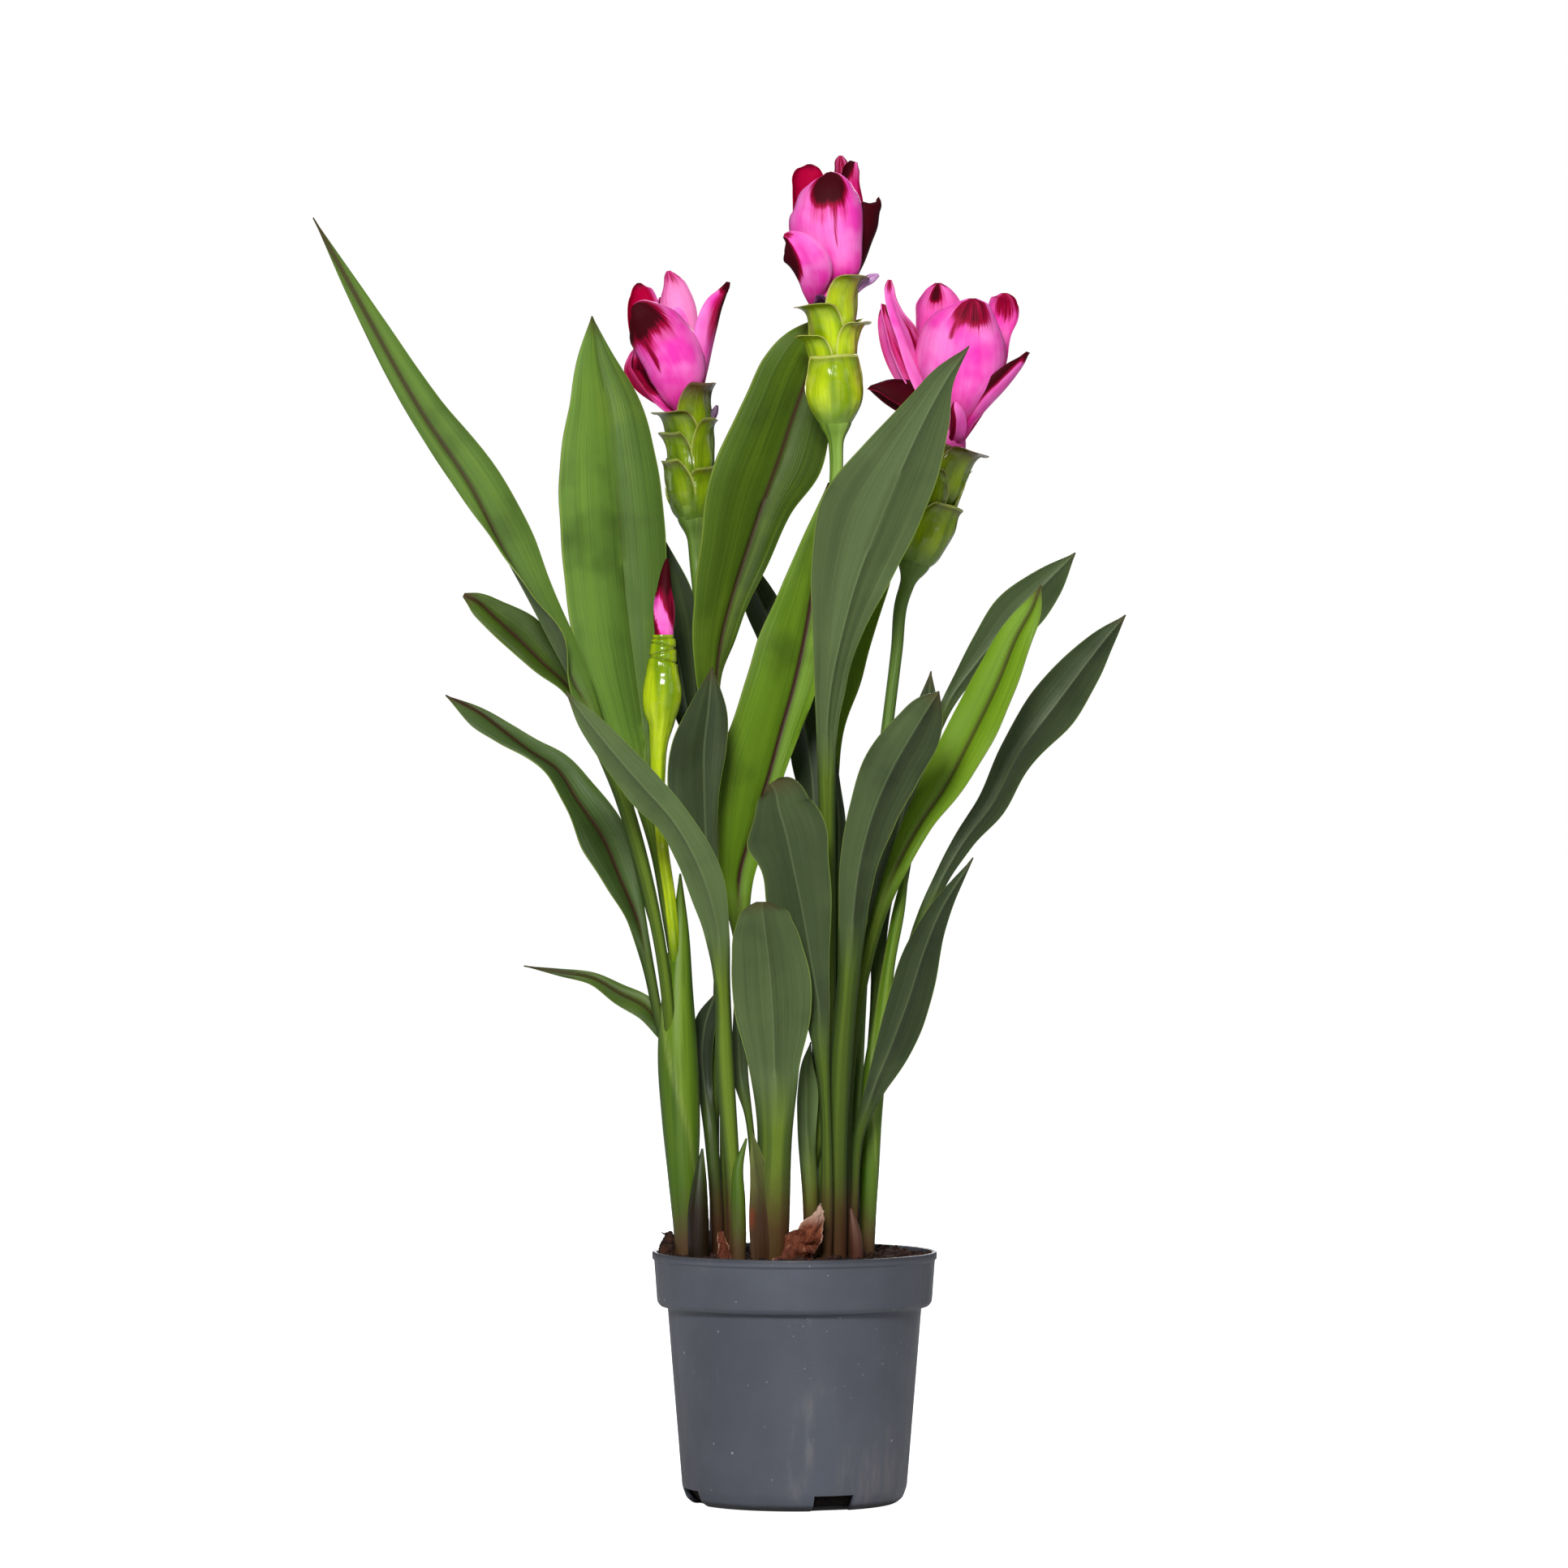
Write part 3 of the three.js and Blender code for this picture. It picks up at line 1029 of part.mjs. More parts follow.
// One green cup, in its cone's own frame. Its lower part is solid with the cone, its upper part
// is a thin wall, and its lip curls out.
function cupSolid(cup, grow = 0) {
  const { foot, heading } = CUP_SHAPES[cup.shape];
  const steps = heading.length - 1;
  const rad = THREE.MathUtils.degToRad;
  let out = foot;
  let up = cup.rise;
  const rings = heading.map((lean, i) => {
    if (i > 0) {
      const slant = rad((lean + heading[i - 1]) / 2);
      out += (Math.sin(slant) * cup.length) / steps;
      up += (Math.cos(slant) * cup.length) / steps;
    }
    const share = i < steps / 2 ? 1 : 1 - 0.45 * ((2 * i) / steps - 1) ** 2;
    const front = [];
    const back = [];
    for (let j = 0; j <= CUP_STEPS; j += 1) {
      const turn = rad(cup.turn + cup.span * share * ((2 * j) / CUP_STEPS - 1));
      const outward = new THREE.Vector3(Math.sin(turn), -Math.cos(turn), 0);
      const point = outward.clone().multiplyScalar(out);
      point.z = up;
      const face = outward.clone().multiplyScalar(Math.cos(rad(lean)));
      face.z = -Math.sin(rad(lean));
      const inner = outward.clone().multiplyScalar(CUP_FILL - grow);
      inner.z = up + grow;
      front.push(point.clone().addScaledVector(face, BRACT_HALF + grow));
      back.unshift(i > steps - 2 ? point.addScaledVector(face, -BRACT_HALF - grow) : inner);
    }
    return [...front, ...back];
  });
  return loft(rings, true);
}

// Moves a solid from a cone's own frame to its foot, tilted to the right by lean degrees
function placed(solid, foot, lean) {
  const matrix = new THREE.Matrix4().makeRotationY(THREE.MathUtils.degToRad(lean));
  matrix.setPosition(foot);
  return solid.transform(matrix.toArray());
}

// The green part of a spike in one piece: bare stem, and a cone with its cups
function spikeGreen(spike, grow = 0, lowest = 0) {
  const [x, y, z] = spike.scape[spike.scape.length - 1];
  const foot = seen(x, y, z);
  const upright = new THREE.Vector3(0, 0, 1);
  const core = loft(CONE_CORE.map(([up, radius]) => (
    roundRing(new THREE.Vector3(0, 0, up), upright, radius + grow, STEM_SIDES)
  )), false);
  const cups = spike.cups.filter((cup) => cup.rise + cup.length > lowest);
  const parts = [core, ...cups.map((cup) => cupSolid(cup, grow))];
  return joined([stemSolid(spike.scape, grow), placed(joined(parts), foot, spike.lean)]);
}

// The pink crown of a spike in one piece: its bracts, joined where they spring from the cone
function spikePink(spike) {
  const [x, y, z] = spike.scape[spike.scape.length - 1];
  const upright = new THREE.Vector3(0, 0, 1);
  const foot = new THREE.Vector3(0, 0, spike.crownRise)
    .applyAxisAngle(new THREE.Vector3(0, 1, 0), THREE.MathUtils.degToRad(spike.lean))
    .add(seen(x, y, z));
  const core = loft(CROWN_CORE.map(([up, radius]) => (
    roundRing(foot.clone().addScaledVector(upright, up), upright, radius, STEM_SIDES)
  )), false);
  const bracts = Object.values(spike.bracts).map((bract) => leafSolid({ stalk: 0, ...bract }));
  return largest(joined([core, ...bracts]).subtract(spikeGreen(spike, GAP, spike.crownRise - 30)));
}

// Pot wall and floor as one closed profile turned round the axis
function potSolid() {
  const foot = FOOT_DIAMETER / 2;
  const shoulder = SHOULDER_DIAMETER / 2;
  const collarFoot = COLLAR_FOOT_DIAMETER / 2;
  const rim = RIM_DIAMETER / 2;
  const lip = LIP_DIAMETER / 2;
  const wall = POT_WALL;
  const profile = [
    [0, 0], [50.5, 0], [54, 2.5], [foot, 8],
    [shoulder, COLLAR_BOTTOM - 1], [collarFoot - 1.5, COLLAR_BOTTOM], [collarFoot, COLLAR_BOTTOM + 2],
    [rim, POT_HEIGHT - 4.5], [lip, POT_HEIGHT - 3.5], [lip, POT_HEIGHT - 0.6], [lip - 0.7, POT_HEIGHT],
    [rim - wall, POT_HEIGHT - 0.4], [collarFoot - wall, COLLAR_BOTTOM + 2.4],
    [shoulder - wall, COLLAR_BOTTOM - 0.6], [foot - wall, 8.5], [50.5, POT_FLOOR], [0, POT_FLOOR],
  ];
  const outline = profile.map(([r, z]) => new THREE.Vector2(r, z));
  let pot = geometryToSolid(new THREE.LatheGeometry(outline, POT_SIDES).rotateX(Math.PI / 2));
  for (let i = 0; i < NOTCH_COUNT; i += 1) {
    const notch = new THREE.BoxGeometry(NOTCH_WIDTH, 14, NOTCH_HEIGHT + 2);
    notch.translate(0, -(FOOT_DIAMETER / 2 - 3), NOTCH_HEIGHT / 2 - 1);
    notch.rotateZ(THREE.MathUtils.degToRad(NOTCH_TURN + (360 * i) / NOTCH_COUNT));
    pot = pot.subtract(geometryToSolid(notch));
  }
  for (let i = 0; i < DRAIN_COUNT; i += 1) {
    const drain = new THREE.CylinderGeometry(DRAIN_DIAMETER / 2, DRAIN_DIAMETER / 2, 12, 8);
    drain.rotateX(Math.PI / 2);
    drain.translate(DRAIN_CIRCLE, 0, 3);
    drain.rotateZ((2 * Math.PI * (i + 0.5)) / DRAIN_COUNT);
    pot = pot.subtract(geometryToSolid(drain));
  }
  return pot;
}

// Height of the soil at a point: a little uneven, with a heap by the left shoot
function soilHeight(x, y) {
  const waves = Math.sin(x * 0.21 + 1.3) * Math.cos(y * 0.24 - 0.6)
    + 0.6 * Math.sin(x * 0.09 - y * 0.13 + 2.1);
  const away = ((x - HEAP.x) ** 2 + (y - HEAP.y) ** 2) / HEAP.spread ** 2;
  return SOIL_LEVEL + SOIL_BUMP * waves + HEAP.height * Math.exp(-away);
}

// Soil that fills the pot, before the stems' holes are cut
function soilSolid() {
  const slack = POT_WALL + GAP + 0.1;
  const inner = [
    [50, POT_FLOOR + GAP], [FOOT_DIAMETER / 2 - slack - 0.4, 9],
    [SHOULDER_DIAMETER / 2 - slack, COLLAR_BOTTOM - 0.2],
    [COLLAR_FOOT_DIAMETER / 2 - slack, COLLAR_BOTTOM + 2.7],
  ];
  const sides = POT_SIDES / 2;
  const inset = Math.cos(Math.PI / sides);
  const ringAt = (r, height) => Array.from({ length: sides }, (_, j) => {
    const turn = (2 * Math.PI * j) / sides;
    const [x, y] = [Math.cos(turn) * r * inset, Math.sin(turn) * r * inset];
    return new THREE.Vector3(x, y, height ?? soilHeight(x, y));
  });
  const rings = [
    ...inner.map(([r, z]) => ringAt(r, z)),
    ...SOIL_RINGS.map((r) => ringAt(r)),
  ];
  return loft(rings, false);
}

// Everything, as a list of names, solids and paints, and the holes that the soil gets
const pieces = [];
const holes = [];
function keep(name, solid, paint) {
  pieces.push({ name, solid, paint });
}

Object.entries(STEMS).forEach(([name, stem]) => {
  keep(name, stemSolid(stem.rows), stem.paint);
  holes.push(stemHole(stem.rows));
});

Object.entries(LEAVES).forEach(([name, leaf]) => {
  let solid = leafSolid(leaf);
  if (leaf.trim) solid = largest(solid.subtract(stemSolid(STEMS[leaf.trim].rows, GAP)));
  else holes.push(leafHole(leaf));
  keep(name, solid, leaf.shows);
});

Object.entries(SPIKES).forEach(([name, spike]) => {
  keep(`spike_${name}_green`, largest(spikeGreen(spike)), "bract");
  keep(`spike_${name}_pink`, spikePink(spike), "coma");
  holes.push(stemHole(spike.scape));
});

const budCups = joined(BUD.cups.map((cup) => cupSolid(cup)));
const budGreen = stemSolid(BUD.scape).add(placed(budCups, seen(...BUD.cupFoot), 0));
keep("bud_green", largest(budGreen.subtract(stemSolid(STEMS.shoot_left.rows, GAP))
  .subtract(stemSolid(BUD.crown, GAP))), "bract");
keep("bud_pink", stemSolid(BUD.crown), "coma");

Object.entries(SCALES).forEach(([name, scale]) => {
  const leaf = { stalk: 0, small: true, ...scale };
  const fitted = leafSolid(leaf).subtract(leafSolid(LEAVES.leaf_front_low, GAP));
  keep(name, largest(fitted), scale.paint);
  holes.push(leafSolid(leaf, GAP));
});

keep("pot", potSolid(), "pot");
keep("soil", largest(soilSolid().subtract(joined(holes))), "soil");

const group = new THREE.Group();
pieces.forEach(({ name, solid, paint }) => {
  const material = new THREE.MeshStandardMaterial({ ...PAINT[paint], metalness: 0 });
  const mesh = new THREE.Mesh(solidToGeometry(solid), material);
  mesh.name = name;
  group.add(mesh);
});

export default group;
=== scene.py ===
# %% [markdown]
# # Potted siam tulip
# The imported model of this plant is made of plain, faceted solids. This notebook gives each of
# them a finer skin of the same shape, with the veins, blotches, lips and gloss that a real siam
# tulip has. Shapes are worked out in millimetres and turned into metres when a mesh is made.

import math

import bpy
import numpy as np
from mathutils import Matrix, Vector, noise


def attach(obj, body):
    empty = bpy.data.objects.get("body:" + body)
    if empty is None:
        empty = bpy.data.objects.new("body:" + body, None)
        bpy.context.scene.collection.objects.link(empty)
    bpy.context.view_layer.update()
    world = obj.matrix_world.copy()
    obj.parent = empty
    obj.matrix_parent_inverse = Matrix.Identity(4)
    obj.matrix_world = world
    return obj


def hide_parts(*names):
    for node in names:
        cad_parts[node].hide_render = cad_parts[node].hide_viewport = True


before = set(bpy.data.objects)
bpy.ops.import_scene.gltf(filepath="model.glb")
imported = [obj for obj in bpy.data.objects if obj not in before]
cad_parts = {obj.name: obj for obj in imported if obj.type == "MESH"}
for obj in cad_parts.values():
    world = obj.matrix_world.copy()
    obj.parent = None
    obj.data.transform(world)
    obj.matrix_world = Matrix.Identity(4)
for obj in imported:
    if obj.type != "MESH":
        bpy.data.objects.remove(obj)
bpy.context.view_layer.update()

# %% [markdown]
# ## From rows of numbers to smooth paths
# A leaf is easiest to describe by a few sections along its midrib. Each section is a row of
# numbers, written with a comma between rows, in millimetres as it shows in a front view. `seen`
# moves it to its true place, because what stands nearer the eye shows larger. `smooth_rows` runs
# a soft curve through the rows, so a few of them give as many sections as a smooth skin needs.

# %% Read rows of numbers
MM = 0.001
# Where the eye stands, level with the middle of the picture
EYE = np.array([-5.0, -3500.0, 355.0])


def numbers(text):
    """Rows of numbers from words, with a comma between rows."""
    return [[float(word) for word in row.split()] for row in text.split(",") if row.strip()]


def seen(x, y, z):
    """Where a point really is, from where it shows against y = 0 and its depth."""
    x, y, z = (np.asarray(value, float) for value in (x, y, z))
    reach = (y - EYE[1]) / -EYE[1]
    return np.stack([EYE[0] + (x - EYE[0]) * reach, y, EYE[2] + (z - EYE[2]) * reach], axis=-1)


print("what shows at 100, 500 and stands 40 nearer is at", seen(100, -40, 500).round(1))

# %% Smooth paths through rows
def unit(vectors):
    return vectors / np.maximum(np.linalg.norm(vectors, axis=-1, keepdims=True), 1e-9)


def soft_step(value, low, high):
    """0 below low, 1 above high, and an even change between."""
    t = np.clip((value - low) / (high - low), 0, 1)
    return t * t * (3 - 2 * t)


def smooth_rows(rows, width):
    """A function that gives the numbers at any place: 0 at the first row, 1 at the next."""
    table = np.array([list(row) + [0] * (width - len(row)) for row in rows], float)
    last = len(rows) - 1
    apart = np.linalg.norm(np.diff(table[:, :3], axis=0), axis=1)[:, None]
    pitch = np.diff(table, axis=0) / apart
    inner = (pitch[:-1] * apart[1:] + pitch[1:] * apart[:-1]) / (apart[:-1] + apart[1:])
    slope = np.vstack([pitch[:1], inner, pitch[-1:]])

    def at(places):
        i = np.clip(np.floor(places).astype(int), 0, last - 1)
        t = (places - i)[:, None]
        return (
            table[i] + (table[i + 1] - table[i]) * t * t * (3 - 2 * t)
            + slope[i] * apart[i] * t * (1 - t) ** 2
            - slope[i + 1] * apart[i] * t * t * (1 - t)
        )

    return at


print("half way between two rows:", smooth_rows(numbers("0 0 0 2, 0 0 10 4"), 4)(np.array([0.5])))

# %% Measure along and across a path
def travel_at(at, places, last):
    """The direction in which the rows run on."""
    ahead = at(np.minimum(places + 0.02, last))[:, :3]
    behind = at(np.maximum(places - 0.02, 0))[:, :3]
    return unit(ahead - behind)


def sideways(travel):
    """Square to the way a path runs, and level from front to back."""
    return unit(np.stack([travel[:, 2], np.zeros(len(travel)), -travel[:, 0]], axis=-1))


def length_along(points):
    """How far along a path each of its points is."""
    return np.concatenate([[0], np.cumsum(np.linalg.norm(np.diff(points, axis=0), axis=1))])


def turns(sides):
    """Even angles once round."""
    return np.linspace(0, 2 * math.pi, sides, endpoint=False)


print("length of a bent path:", length_along(np.array([[0, 0, 0], [3, 0, 4], [3, 0, 9]])))

# %% [markdown]
# ## Shells and pieces
# A shell is a closed skin through rings of points. Its faces are quads, its ends are closed with
# quads too, and each point carries named numbers that the finishes read, such as how far it is
# from the midrib. A piece gathers shells into one mesh, and stands for the solid behind it.

# %% Close a skin over rings
def grain_map(u, along):
    """The uv of a shell: u round it, and how far along it, in units of 100 mm."""
    return np.stack(np.broadcast_arrays(u, along[:, None] / 100), axis=-1)


def shell(rings, grain, values):
    """rings is (sections, points round, 3) in mm, and grain has one more point round."""
    count, around = rings.shape[:2]
    i, j = (n.ravel() for n in np.meshgrid(np.arange(count - 1), np.arange(around), indexing="ij"))
    beside = (j + 1) % around
    low, high = i * around, (i + 1) * around
    faces = [np.stack([low + j, low + beside, high + beside, high + j], axis=-1)]
    uv = [np.stack([grain[i, j], grain[i, j + 1], grain[i + 1, j + 1], grain[i + 1, j]], axis=1)]
    k = np.arange(around // 2 - 1)
    for row, order in ((0, [1, 0, 3, 2]), (count - 1, [0, 1, 2, 3])):
        corners = np.stack([k, k + 1, around - 2 - k, around - 1 - k], axis=-1)[:, order]
        faces.append(row * around + corners)
        uv.append(grain[row][corners])
    faces, uv, points = np.vstack(faces), np.vstack(uv), rings.reshape(-1, 3)
    a, b, c, d = (points[faces[:, n]] for n in range(4))
    volume = np.sum(a * np.cross(b, c)) + np.sum(a * np.cross(c, d))
    if volume < 0:
        faces, uv = faces[:, ::-1], uv[:, ::-1]
    values = {name: np.broadcast_to(v, (count, around)).ravel() for name, v in values.items()}
    return {"points": points, "faces": faces, "uv": uv, "values": values}


tube = np.stack([np.stack([np.cos(turns(8)), np.sin(turns(8)), 0 * turns(8) + z], -1) for z in (0, 1)])
print("a short tube has", len(shell(tube, np.zeros((2, 9, 2)), {})["faces"]), "faces")

# %% Gather shells into a piece
SMOOTH_BELOW = math.radians(62)


def link(name, data):
    """Puts a mesh, a light or a camera into the scene."""
    made = bpy.data.objects.new(name, data)
    bpy.context.scene.collection.objects.link(made)
    return made


def new_mesh(name, points, faces):
    mesh = bpy.data.meshes.new(name)
    mesh.from_pydata(points, [], faces)
    return mesh


def new_object(name, shells):
    """One mesh object made of several shells."""
    offsets = np.cumsum([0] + [len(part["points"]) for part in shells])
    points = np.vstack([part["points"] for part in shells]) * MM
    faces = np.vstack([part["faces"] + start for part, start in zip(shells, offsets)])
    mesh = new_mesh(name, points.tolist(), faces.tolist())
    uv = np.vstack([part["uv"].reshape(-1, 2) for part in shells])
    mesh.uv_layers.new(name="grain").data.foreach_set("uv", uv.ravel())
    for value in sorted(set().union(*[part["values"] for part in shells])):
        held = [part["values"].get(value, np.zeros(len(part["points"]))) for part in shells]
        layer = mesh.attributes.new(value, "FLOAT", "POINT")
        layer.data.foreach_set("value", np.concatenate(held).astype(np.float32))
    mesh.shade_smooth()
    mesh.set_sharp_from_angle(angle=SMOOTH_BELOW)
    return link(name, mesh)


def dress(made, finish, slot, *nodes):
    """Gives a piece its finish, hangs it from the root, and hides the solids it stands for."""
    if finish:
        made.data.materials.append(finish)
    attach(made, "root")
    if nodes:
        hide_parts(*nodes)
    print(made.name, "has", len(made.data.polygons), "faces")


print("edges bent less than", round(math.degrees(SMOOTH_BELOW)), "degrees are shaded smooth")

# %% [markdown]
# ## Building finishes
# Every finish is a network of shader nodes. To keep it readable, the output of a node is wrapped
# in a `Wire`, which can be added and multiplied like a number, and each sum makes the node that
# does it. A finish then lays its colour on in coats, each over the one before, as a painter does.

# %% Wires between nodes
class Net:
    """A tree of nodes that can be added to."""

    def __init__(self, tree):
        self.tree = tree

    def node(self, kind, inputs=None, output=0, **settings):
        """Adds a node, sets or joins its inputs, and hands back one of its outputs."""
        made = self.tree.nodes.new(kind)
        for name, value in settings.items():
            setattr(made, name, value)
        for name, value in (inputs or {}).items():
            if isinstance(value, Wire):
                self.tree.links.new(value.socket, made.inputs[name])
            else:
                made.inputs[name].default_value = value
        return Wire(self, made.outputs[output])

    def maths(self, operation, first, second):
        return self.node("ShaderNodeMath", {0: first, 1: second}, operation=operation)


class Wire:
    """The output of a node, which can be added to, taken from or multiplied like a number."""

    def __init__(self, net, socket):
        self.net = net
        self.socket = socket

    def __add__(self, other):
        return self.net.maths("ADD", self, other)

    def __sub__(self, other):
        return self.net.maths("SUBTRACT", self, other)

    def __rsub__(self, other):
        return self.net.maths("SUBTRACT", other, self)

    def __mul__(self, other):
        return self.net.maths("MULTIPLY", self, other)

    def fade(self, low, high, start=0.0, end=1.0):
        """Goes smoothly from start, where this wire is low, to end, where it is high."""
        ends = {"From Min": low, "From Max": high, "To Min": start, "To Max": end}
        return self.net.node("ShaderNodeMapRange", {"Value": self, **ends}, interpolation_type="SMOOTHSTEP")


def mix(share, first, second):
    """Goes from the first colour to the second as share goes from 0 to 1."""
    ends = {0: share, 6: first, 7: second}
    return share.net.node("ShaderNodeMix", ends, output=2, data_type="RGBA")


def rgb(red, green, blue):
    """A colour as seen on a screen, from 0 to 255, turned into light."""
    parts = [part / 255 for part in (red, green, blue)]
    return (*[part / 12.92 if part <= 0.04045 else ((part + 0.055) / 1.055) ** 2.4 for part in parts], 1.0)


print("mid grey as light:", round(rgb(128, 128, 128)[0], 3))

# %% Finishes made in coats
class Finish(Net):
    """A material whose colour is laid on in coats."""

    def __init__(self, name, rough, gloss):
        self.made = bpy.data.materials.new(name)
        self.made.use_nodes = True
        super().__init__(self.made.node_tree)
        self.surface = self.tree.nodes["Principled BSDF"].inputs
        self.surface["Roughness"].default_value = rough
        self.surface["Specular IOR Level"].default_value = gloss

    def values(self, names):
        """The numbers that a piece's points carry under these names."""
        return [self.node("ShaderNodeAttribute", output=2, attribute_name=name) for name in names.split()]

    def place(self):
        return self.node("ShaderNodeTexCoord", output=3)

    def height(self):
        return self.node("ShaderNodeSeparateXYZ", {0: self.place()}, output=2)

    def stretched(self, place, *scale):
        return self.node("ShaderNodeMapping", {"Vector": place, "Scale": scale})

    def cloud(self, scale, detail=3.0, rough=0.55, place=None):
        """Noise, in space unless another place is given."""
        inputs = {"Vector": place or self.place(), "Scale": scale, "Detail": detail, "Roughness": rough}
        return self.node("ShaderNodeTexNoise", inputs)

    def grain(self, across, along, detail, rough=0.55):
        """Noise that follows the piece's own uv map, by how fine it is across and along."""
        uv = self.node("ShaderNodeUVMap", uv_map="grain")
        return self.cloud(1.0, detail, rough, self.stretched(uv, across, along, 1.0))

    def near_soil(self, low, high):
        """1 at the soil and 0 higher up, with a ragged change between."""
        ragged = self.height() + self.cloud(60.0) * 0.02
        return ragged.fade(low + 0.01, high + 0.01, 1.0, 0.0)

    def coat(self, share, colour):
        self.colour = mix(share, self.colour, colour)

    def done(self, bumps, depth, rough=None):
        """Joins colour, bumps and roughness to the surface, and hands back the material."""
        bump = self.node("ShaderNodeBump", {"Height": bumps, "Strength": 1.0, "Distance": depth})
        for name, wire in (("Base Color", self.colour), ("Normal", bump), ("Roughness", rough)):
            if wire:
                self.tree.links.new(wire.socket, self.surface[name])
        print(self.made.name, "takes", len(self.tree.nodes), "nodes")
        return self.made


# %% [markdown]
# ## The leaf finish
# A siam tulip leaf is green and softly striped above, with a brown midrib, and grey-green below.
# Fine veins run from foot to tip and crowd together at both ends. The grain map follows the
# leaf, so noise stretched along it gives the veins. The foot of each stalk turns purple-brown
# just above the soil. One finish does for every leaf, because each leaf brings its own numbers
# for how bright it is, painted shade included, and how dark its midrib is. Painted shade also
# darkens the sides of each stalk.

# %% Leaf finish
def leaf_finish():
    skin = Finish("leaf_skin", 0.5, 0.2)
    upper, tone, cool, rib, tip = skin.values("upper tone cool rib tip")
    mid, from_rib, stalk = skin.values("mid rib_mm stalk")
    fine, broad, patches = skin.grain(80.0, 1.0, 2.0), skin.grain(13.0, 0.45, 1.0), skin.cloud(20.0)
    warm_green = mix(tone, rgb(34, 48, 12), rgb(118, 158, 28))
    cool_green = mix(tone, rgb(34, 48, 22), rgb(118, 158, 74))
    grey_green = mix(tone, rgb(32, 41, 26), rgb(106, 128, 76))
    skin.colour = mix(upper, grey_green, mix(cool, warm_green, cool_green))
    # Stripes, veins and patches, each with darker and lighter places
    light = mix(upper, rgb(120, 142, 84), rgb(146, 178, 46))
    dark = mix(upper, rgb(30, 40, 24), rgb(26, 42, 10))
    skin.coat(broad.fade(0.5, 0.78, 0.0, 0.3), dark)
    skin.coat(broad.fade(0.5, 0.22, 0.0, 0.12), light)
    skin.coat(fine.fade(0.52, 0.72, 0.0, 0.16), dark)
    skin.coat(fine.fade(0.46, 0.28, 0.0, 0.07), light)
    skin.coat(patches.fade(0.5, 0.78, 0.0, 0.5), dark)
    skin.coat(patches.fade(0.46, 0.25, 0.0, 0.14), light)
    # The midrib is brown with a soft border above, and a pale line below
    blade_only = 1.0 - stalk
    skin.coat(from_rib.fade(0.8, 3.4, 0.5, 0.0) * rib * blade_only * upper, rgb(50, 44, 20))
    skin.coat(from_rib.fade(0.5, 1.5, 1.0, 0.0) * rib * blade_only * upper, rgb(62, 34, 26))
    skin.coat(from_rib.fade(0.2, 1.0, 0.18, 0.0) * blade_only * (1.0 - upper), rgb(140, 160, 112))
    # The stalk with painted shade down its sides, the thin margin, the dry tip and the brown foot
    stem = mix(tone, rgb(58, 78, 14), rgb(124, 150, 30))
    stem = mix(broad.fade(0.42, 0.66, 0.0, 0.55), stem, rgb(42, 68, 16))
    # Painted shade: the stalk darkens towards its sides, which rounds it
    stem = mix(mid.fade(0.35, 0.95, 0.0, 0.7), stem, rgb(30, 50, 12))
    skin.coat(stalk * 0.8, stem)
    skin.coat(mid.fade(0.965, 0.995, 0.0, 0.55) * blade_only, rgb(134, 156, 62))
    skin.coat(tip * 0.6, rgb(82, 66, 38))
    skin.coat(skin.near_soil(0.133, 0.176) * 0.88, rgb(76, 38, 24))
    return skin.done(fine + broad * 2.0, 0.00026, patches.fade(0.3, 0.7, 0.4, 0.56))


LEAF_SKIN = leaf_finish()

# %% [markdown]
# ## The leaves
# Each leaf is a nearly round stalk that opens into a folded blade. A section is two arms, left
# and right of the midrib, so a blade can be folded, cupped or twisted by its arms alone. Sections
# are close together here, and the margins get a slight wave that the solids do without.

# %% The two arms of a section
EDGE_HALF = 0.3
BLADE_HALF = 0.42
STALK_DEPTH = 0.78
LEAST_ARM = 0.35


def blade_rows(text):
    """x, y and z of the midrib, half widths left and right, and how far each margin lies behind.

    One width does for both halves where they are alike."""
    return [row + row[3:] if len(row) == 4 else row for row in numbers(text)]


def folded_arms(rows, at, places, on_stalk, lean, turn):
    """Midrib, the two arms, the way each of them faces, and half the thickness at the midrib."""
    x, y, z, left, right, left_back, right_back = at(places).T
    foot, top = rows[0][2], rows[-1][2]
    centre = seen(x, y + lean * ((z - foot) / (top - foot)) ** 2, z)
    travel = travel_at(at, places, len(rows) - 1)
    twist = math.tan(math.radians(turn)) * (1 - on_stalk)
    arms, faces = [], []
    for way, width, back in ((-1, left, left_back), (1, right, right_back)):
        arm = way * sideways(travel) * np.where(width < 0, width, np.maximum(width, LEAST_ARM))[:, None]
        arm[:, 1] += back + way * width * twist
        arms.append(arm[:, None])
        faces.append(way * unit(np.cross(arm, travel))[:, None])
    thick = np.maximum(STALK_DEPTH * (left + right) / 2, BLADE_HALF)
    return centre, arms, faces, BLADE_HALF + (thick - BLADE_HALF) * on_stalk


print("rows of a small blade:", blade_rows("0 0 0 2, 0 0 10 3 4 1 1"))

# %% Waves and creases
def round_trip(front, back):
    """Numbers over the front of a blade, then over its back the other way."""
    return np.concatenate([front, back[:, ::-1]], axis=1)


def margin_wave(name, v, along):
    """A gentle wave of two lengths, other for each leaf's name and for each margin."""
    phase = sum(map(ord, name)) * 0.7
    long_wave = np.sin(along / 11 + phase + np.sign(v) * 1.3)
    return (long_wave + 0.5 * np.sin(along / 4.7 + phase * 2 + np.sign(v))) * np.abs(v) ** 3


CREASE_SEED = 4


def crumpled(rings, size):
    """Moves of thin dry skin that has creased, from smooth noise at two sizes."""
    # Blender starts this noise from the clock unless it is given a seed
    noise.seed_set(CREASE_SEED)
    moves = [
        noise.noise_vector(Vector(point / 5.0)) + 0.6 * noise.noise_vector(Vector(point / 2.0))
        for point in rings.reshape(-1, 3)
    ]
    return np.array([tuple(move) for move in moves]).reshape(rings.shape) * size


print("wave at a margin:", margin_wave("leaf", np.array([1.0]), 20.0).round(2))

